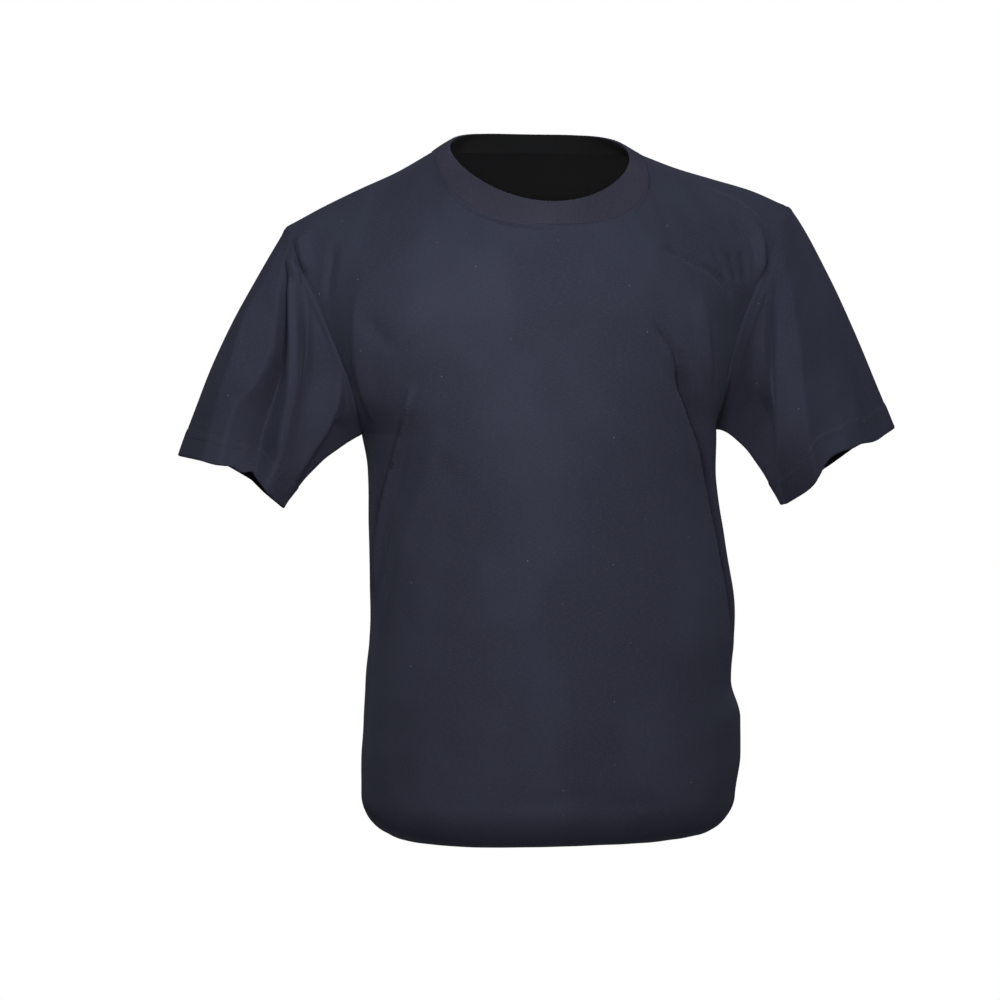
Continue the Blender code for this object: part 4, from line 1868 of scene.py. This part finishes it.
@dataclass(frozen=True)
class Stage:
    """A pale floor, soft lights and the camera.

    The camera stands at a distance from its target, which lies aim_aside to the right of the
    garment's middle in the picture and at aim_height, where frame_width fills the picture.
    """

    azimuth: float = -10.0
    elevation: float = 2.0
    distance: float = 2.8
    frame_width: float = 0.95
    aim_aside: float = -0.035
    aim_height: float = -0.328
    sensor: float = 36.0
    floor_height: float = -1.9
    floor_radius: float = 1.3
    floor_corners: int = 64
    ambient: float = 0.14
    lamps: tuple[Lamp, ...] = (
        Lamp("key", -10.0, 17.0, 1.0, 0.26, 5.7, (1.0, 0.975, 0.95)),
        Lamp("left_fill", -30.0, 48.0, 1.5, 0.40, 5.7, (0.88, 0.98, 1.0)),
        Lamp("right_fill", 58.0, 35.0, 1.5, 0.45, 3.0, (0.84, 0.92, 1.0)),
        Lamp("back", 172.0, 22.0, 1.8, 0.60, 13.0),
    )

    def floor(self, paint: Paint) -> None:
        """Makes the round floor below the garment.

        Args:
            paint: its finish.
        """
        turns = np.linspace(0, math.tau, self.floor_corners, endpoint=False)
        height = np.full(len(turns), self.floor_height)
        rim = np.stack((np.cos(turns) * self.floor_radius, np.sin(turns) * self.floor_radius, height), -1)
        mesh = bpy.data.meshes.new("floor")
        mesh.from_pydata(rim.tolist(), [], [list(range(len(turns)))])
        mesh.materials.append(paint.material())
        add_to_scene("floor", mesh)

    def world(self) -> None:
        """A dim, even light all round, behind which the studio looks white."""
        world = bpy.data.worlds.new("studio")
        world.use_nodes = True
        nodes = Nodes(world.node_tree)
        white = colour((1.0, 1.0, 1.0))
        dim, bright = (
            nodes.node("ShaderNodeBackground", {}, {"Color": white, "Strength": strength})
            for strength in (self.ambient, 1.0)
        )
        seen = nodes.node("ShaderNodeLightPath", {}, output="Is Camera Ray")
        sky = nodes.node("ShaderNodeMixShader", {}, (seen, dim, bright))
        nodes.feed(world.node_tree.nodes["World Output"].inputs["Surface"], sky)
        bpy.context.scene.world = world

    def camera(self) -> None:
        """Sets the camera up and makes it the scene's own."""
        turn = math.radians(self.azimuth)
        right = Vector((math.cos(turn), math.sin(turn), 0.0))
        target = right * self.aim_aside + Vector((0.0, 0.0, self.aim_height))
        data = bpy.data.cameras.new("camera")
        data.sensor_width = self.sensor
        data.lens = self.sensor * self.distance / self.frame_width
        camera = add_to_scene("camera", data)
        stand(camera, target, self.azimuth, self.elevation, self.distance)
        bpy.context.scene.camera = camera

    def build(self) -> None:
        """Sets the stage."""
        self.floor(Paint("floor_paint", (0.86, 0.86, 0.86)))
        for lamp in self.lamps:
            lamp.add(Vector((0.0, 0.0, self.aim_height)))
        self.world()
        bpy.context.scene.view_settings.view_transform = "Standard"
        self.camera()


# ---------------- the garment's tables

ROUND, FACET = Shape.ROUND, Shape.FACET

RIPPLES: tuple[Ripple, ...] = (
    Ripple(0.190, 8.0, 0.10, 0.0008),
    Ripple(0.120, 64.0, 0.35, 0.0006),
    Ripple(0.074, -18.0, 0.62, 0.0004),
    Ripple(0.046, 84.0, 0.81, 0.00022),
    Ripple(0.031, 22.0, 0.27, 0.00012),
)

FRONT_TUCKS: tuple[Tuck, ...] = (
    Tuck(-0.264, 0.000, 0.008, 0.000, 0.006),
    Tuck(-0.242, 0.006, 0.009, 0.008, 0.010),
    Tuck(-0.215, 0.012, 0.013, 0.013, 0.019),
    Tuck(-0.180, 0.015, 0.024, 0.016, 0.034),
    Tuck(-0.150, 0.015, 0.035, 0.016, 0.048),
    Tuck(-0.122, 0.011, 0.050, 0.012, 0.062),
    Tuck(-0.095, 0.005, 0.056, 0.006, 0.060),
    Tuck(-0.070, 0.000, 0.056, 0.002, 0.050),
    Tuck(-0.045, 0.000, 0.056, 0.000, 0.050),
)

BACK_TUCKS: tuple[Tuck, ...] = (
    Tuck(-0.264, 0.000, 0.010, 0.000, 0.010),
    Tuck(-0.235, 0.010, 0.014, 0.008, 0.016),
    Tuck(-0.190, 0.016, 0.030, 0.014, 0.036),
    Tuck(-0.140, 0.013, 0.050, 0.015, 0.046),
    Tuck(-0.095, 0.004, 0.055, 0.006, 0.055),
    Tuck(-0.060, 0.000, 0.055, 0.000, 0.055),
)

FRONT_FOLDS: tuple[Fold, ...] = (
    Fold(((-256, -88), (-250, -108), (-248, -128), (-240, -148)), 6, -3.8, FACET, 0.25, 0.4, 2),
    Fold(((-306, -78), (-290, -96), (-270, -118)), 8.5, 7.5, FACET, 0.25, 0.3),
    Fold(((-204, -148), (-185, -164), (-167, -179), (-150, -195)), 8, -2.6, ROUND, 0.4, 0.4),
    Fold(((-138, -214), (-144, -240), (-154, -268), (-170, -304), (-184, -342), (-198, -382),
         (-214, -432)), 4.8, 7.5, FACET, 0.12, 0.25),
    Fold(((-147, -236), (-163, -274), (-181, -322), (-199, -372)), 7, -2.2, ROUND, 0.45, 0.45),
    Fold(((-134, -236), (-147, -276), (-163, -320), (-180, -370), (-198, -425)), 5.5, -2.6,
         FACET, 0.45, 0.3),
    Fold(((-112, -240), (-122, -290), (-137, -330), (-154, -375), (-172, -420), (-188, -470)),
         9.5, 3.4, ROUND, 0.3, 0.4),
    Fold(((-118, -178), (-132, -160), (-165, -138)), 28, 4, ROUND, 0.4, 0.4),
    Fold(((108, -92), (135, -94), (156, -103), (178, -114), (192, -132), (196, -160)), 8, -5.8,
         FACET, 0.3, 0.35, 0.6),
    Fold(((183, -88), (190, -106), (196, -124)), 4.5, -3.6, ROUND, 0.35, 0.35),
    Fold(((203, -92), (207, -110), (206, -128)), 4.5, -3.6, ROUND, 0.35, 0.35),
    Fold(((222, -88), (224, -106), (218, -126)), 5.5, -3.6, ROUND, 0.35, 0.35),
    Fold(((262, -70), (252, -92), (238, -124)), 8, 6.5, FACET, 0.3, 0.4),
    Fold(((206, -34), (232, -45), (254, -58), (276, -84)), 9, 5.5, ROUND, 0.3, 0.35),
    Fold(((222, -68), (242, -78), (254, -90)), 8.5, -4, ROUND, 0.4, 0.3),
    Fold(((84, -155), (95, -169), (108, -185), (120, -205)), 5.5, -6.2, FACET, 0.4, 0.3),
    Fold(((108, -186), (124, -216), (146, -250), (168, -290), (184, -332), (197, -375),
         (209, -420), (219, -470)), 17, -18.5, FACET, 0.14, 0.22, 0.8),
    Fold(((78, -150), (92, -170), (104, -190), (118, -222), (136, -262), (154, -310),
         (170, -356)), 6, 3.4, FACET, 0.25, 0.4),
    Fold(((56, -262), (74, -306), (99, -350)), 10, -2.2, ROUND, 0.4, 0.5),
    Fold(((36, -262), (54, -306), (72, -346)), 8, -1.6, ROUND, 0.4, 0.5),
    Fold(((-120, -270), (-108, -296), (-88, -318)), 9, -1.4, ROUND, 0.4, 0.5),
    Fold(((-208, -124), (-202, -160), (-197, -200), (-192, -234), (-188, -262)), 7, 3.6, FACET,
         0.3, 0.25, 2.6),
    Fold(((152, -128), (153, -150), (152, -178), (156, -205), (166, -232)), 18, 3.8, FACET,
         0.25, 0.3, 0.4),
    Fold(((-60, -592), (-20, -599), (34, -592)), 8, -1, ROUND, 0.4, 0.4),
    Fold(((20, -608), (70, -602), (110, -606)), 8, -0.8, ROUND, 0.4, 0.4),
)

BACK_FOLDS: tuple[Fold, ...] = (
    Fold(((150, -190), (163, -240), (188, -300), (196, -370), (204, -440)), 12, -9, FACET, 0.2,
         0.35),
    Fold(((115, -200), (130, -262), (152, -330), (160, -420)), 10, 4, ROUND, 0.3, 0.5),
    Fold(((-140, -200), (-156, -252), (-180, -310), (-196, -400), (-204, -470)), 11, -10, FACET,
         0.2, 0.35),
    Fold(((-108, -215), (-120, -280), (-146, -350), (-158, -430)), 10, 3.6, ROUND, 0.3, 0.5),
    Fold(((-40, -120), (0, -128), (50, -118)), 16, 2.2, ROUND, 0.4, 0.4),
    Fold(((-70, -160), (-20, -176), (36, -168)), 12, -1.8, ROUND, 0.4, 0.4),
    Fold(((-66, -420), (10, -446), (90, -428)), 18, -3, ROUND, 0.4, 0.4),
    Fold(((-96, -470), (-10, -500), (60, -490)), 16, 2.6, ROUND, 0.4, 0.4),
    Fold(((-50, -530), (30, -548), (120, -530)), 15, -2.6, ROUND, 0.4, 0.4),
)

RIGHT_CREASES: tuple[Crease, ...] = (
    Crease((4, 8, 16, 26, 38, 42, 46, 52), (0, 1, 4, 7.5, 10, 10, 6, 4)),
    Crease((15, 34, 52, 65, 66, 61, 64, 71), (0, 0, 0, 2.5, 5, 7.5, 6, 5)),
    Crease((24, 44, 62, 77, 87, 96, 105, 111), (0, -17.5, -25, -27.5, -27.5, -27.5, -24, -19)),
    Crease((29, 50, 68, 83, 93, 102, 111, 117), (0, 5, 7.5, 9, 9, 9, 7.5, 5)),
    Crease((40, 62, 80, 95, 104, 113, 122, 130), (0, 4, 6, 6, 6, 6, 5, 4)),
    Crease((58, 75, 90, 103, 112, 120, 128, 135), (0, -12, -20, -23, -21, -17, -11, -4)),
    Crease((66, 86, 104, 119, 127, 134, 141, 146), (0, -8, -13, -15, -14, -11, -7, -2)),
    Crease((108, 124, 136, 143, 147, 151, 154, 157), (0, 1, 1, 1, 1, 1, 1, 0)),
    Crease((146, 158, 164, 167, 169, 171, 174, 176), (0, -9, -17.5, -17.5, -12.5, -7.5, -4, -1)),
    Crease((250, 244, 238, 232, 228, 224, 220, 218), (0, -6, -10, -11, -10, -9, -7.5, -6)),
    Crease((290, 282, 274, 266, 258, 250, 246, 242), (0, 4, 5, 6, 6, 5, 4, 2.5)),
    Crease((322, 312, 304, 296, 290, 284, 278, 274), (0, -7.5, -11, -14, -14, -12.5, -11, -10)),
    Crease((340, 334, 328, 322, 316, 310, 304, 300), (0, 2.5, 5, 5, 5, 4, 2.5, 1)),
)

LEFT_CREASES: tuple[Crease, ...] = (
    Crease((8, 12, 19, 32, 50, 65, 78, 90), (0, -5, -10, -14, -15, -14, -11, -7.5)),
    Crease((34, 54, 67, 79, 92, 103, 112, 121), (0, 5, 11, 14, 14, 12.5, 10, 6)),
    Crease((44, 68, 85, 104, 124, 141, 157, 170), (0, 6, 12.5, 15, 15, 10, 4, 0)),
    Crease((54, 78, 96, 115, 134, 150, 164, 173), (0, -8, -12, -16, -20, -20, -12, -3)),
    Crease((118, 132, 143, 152, 160, 167, 173, 178), (0, -22, -32, -36, -30, -18, -6, 0)),
    Crease((262, 254, 246, 238, 232, 226, 222, 220), (0, -5, -9, -11, -11, -10, -7.5, -6)),
    Crease((296, 286, 276, 268, 262, 256, 250, 246), (0, 4, 5, 6, 6, 5, 4, 2.5)),
    Crease((326, 316, 306, 298, 292, 286, 282, 280), (0, -7.5, -12.5, -14, -14, -12.5, -11, -10)),
    Crease((344, 338, 332, 324, 318, 312, 306, 302), (0, 2.5, 5, 5, 5, 4, 2.5, 1)),
)

RIGHT_FOLDS: tuple[Fold, ...] = (
    Fold(((22, 5.7), (40, 6.84), (58, 8.74)), 6, 6, ROUND, 0.3, 0.3),
    Fold(((70, 114), (60, 125.4), (48, 133), (36, 152)), 7, -1.6, ROUND, 0.4, 0.4),
)

LEFT_FOLDS: tuple[Fold, ...] = (
    Fold(((30, 114), (40, 136.8), (56, 163.4), (70, 182.4)), 8, 2, ROUND, 0.4, 0.3),
)

CUTS: dict[str, Cut] = {
    "front": Cut(0.50, 0.74, 0.318),
    "back": Cut(0.50, 0.76, 0.327),
    "sleeve_right": Cut(0.42, 0.24, 0.077),
    "sleeve_left": Cut(0.42, 0.24, 0.077),
    "collar": Cut(0.50, 0.025, 0.0117),
}


# ---------------- putting it together


@dataclass
class Tshirt:
    """The whole garment.

    A panel's sewn edges are drawn back by sewn_gap, and a tube's laps over them by seam_lap.
    """

    form: BodyForm = field(default_factory=BodyForm)
    cells: Cells = field(default_factory=Cells)
    wardrobe: Wardrobe = field(default_factory=Wardrobe)
    sewn_gap: float = 0.00007
    seam_lap: float = 0.0004

    def panels(self) -> tuple[Panel, Panel]:
        """The front and the back."""
        return (
            Panel(self.cells, Face.FRONT, self.form, FRONT_FOLDS, FRONT_TUCKS, ripple_start=0.0),
            Panel(self.cells, Face.BACK, self.form, BACK_FOLDS, BACK_TUCKS, ripple_start=0.61),
        )

    def tubes(self) -> tuple[Sleeve, Sleeve, NeckBand]:
        """Names the sizes of the tubes that are sewn to the panels.

        Returns:
            The right sleeve, the left sleeve and the neck band.
        """
        right = Sleeve(
            self.cells, Hand.RIGHT, RIGHT_CREASES, RIGHT_FOLDS,
            hitches=(Hitch(108, 8, 0.070), Hitch(88, 14, 0.035)),
            out_x=0.338, out_z=-0.284, in_x=0.242, in_z=-0.333,
            front_arch=0.008, back_arch=0.016, head=1.0, under=0.006,
        )
        left = Sleeve(
            self.cells, Hand.LEFT, LEFT_CREASES, LEFT_FOLDS,
            hitches=(Hitch(104, 20, 0.088), Hitch(70, 18, 0.034)),
            out_x=0.349, out_z=-0.259, in_x=0.238, in_z=-0.333,
            front_arch=0.009, back_arch=-0.006, head=0.6, under=0.013,
        )
        return right, left, NeckBand(self.cells)

    def lay(self) -> list[SewnPart]:
        """Lays the cloth of every part, and sews them together.

        Returns:
            The parts, ready to be dressed.
        """
        front, back = self.panels()
        right, left, band = self.tubes()
        for panel in (front, back):
            panel.lay()
        for tube in (right, left, band):
            tube.lay(front.cloth, back.cloth)
        share_normals([part.cloth for part in (front, back, right, left)])
        meet_band(band.cloth, (front.cloth, back.cloth))
        parts = [front, back, right, left, band]
        for part in parts:
            part.cloth.relief = part.edge_relief()
            part.cloth.set_seams(self.sewn_gap, self.seam_lap)
        return parts

    def build(self) -> list[bpy.types.Object]:
        """Makes and dresses every piece.

        Returns:
            The pieces' objects.
        """
        pieces, parts = [], self.lay()
        knits, thread = self.wardrobe.knits(), self.wardrobe.thread.material()
        for part in parts:
            pieces += part.dress(knits, thread, CUTS[part.cloth.node])
        return pieces


def main() -> None:
    """Builds the garment and its stage, and reports each piece."""
    logging.basicConfig(level=logging.INFO, format="%(message)s")
    for piece in Tshirt().build():
        LOG.info("%s: %d faces", piece.name, len(piece.data.polygons))
    stage = Stage()
    stage.build()
    LOG.info("stage: floor, camera and %d lamps", len(stage.lamps))


if __name__ == "__main__":
    main()
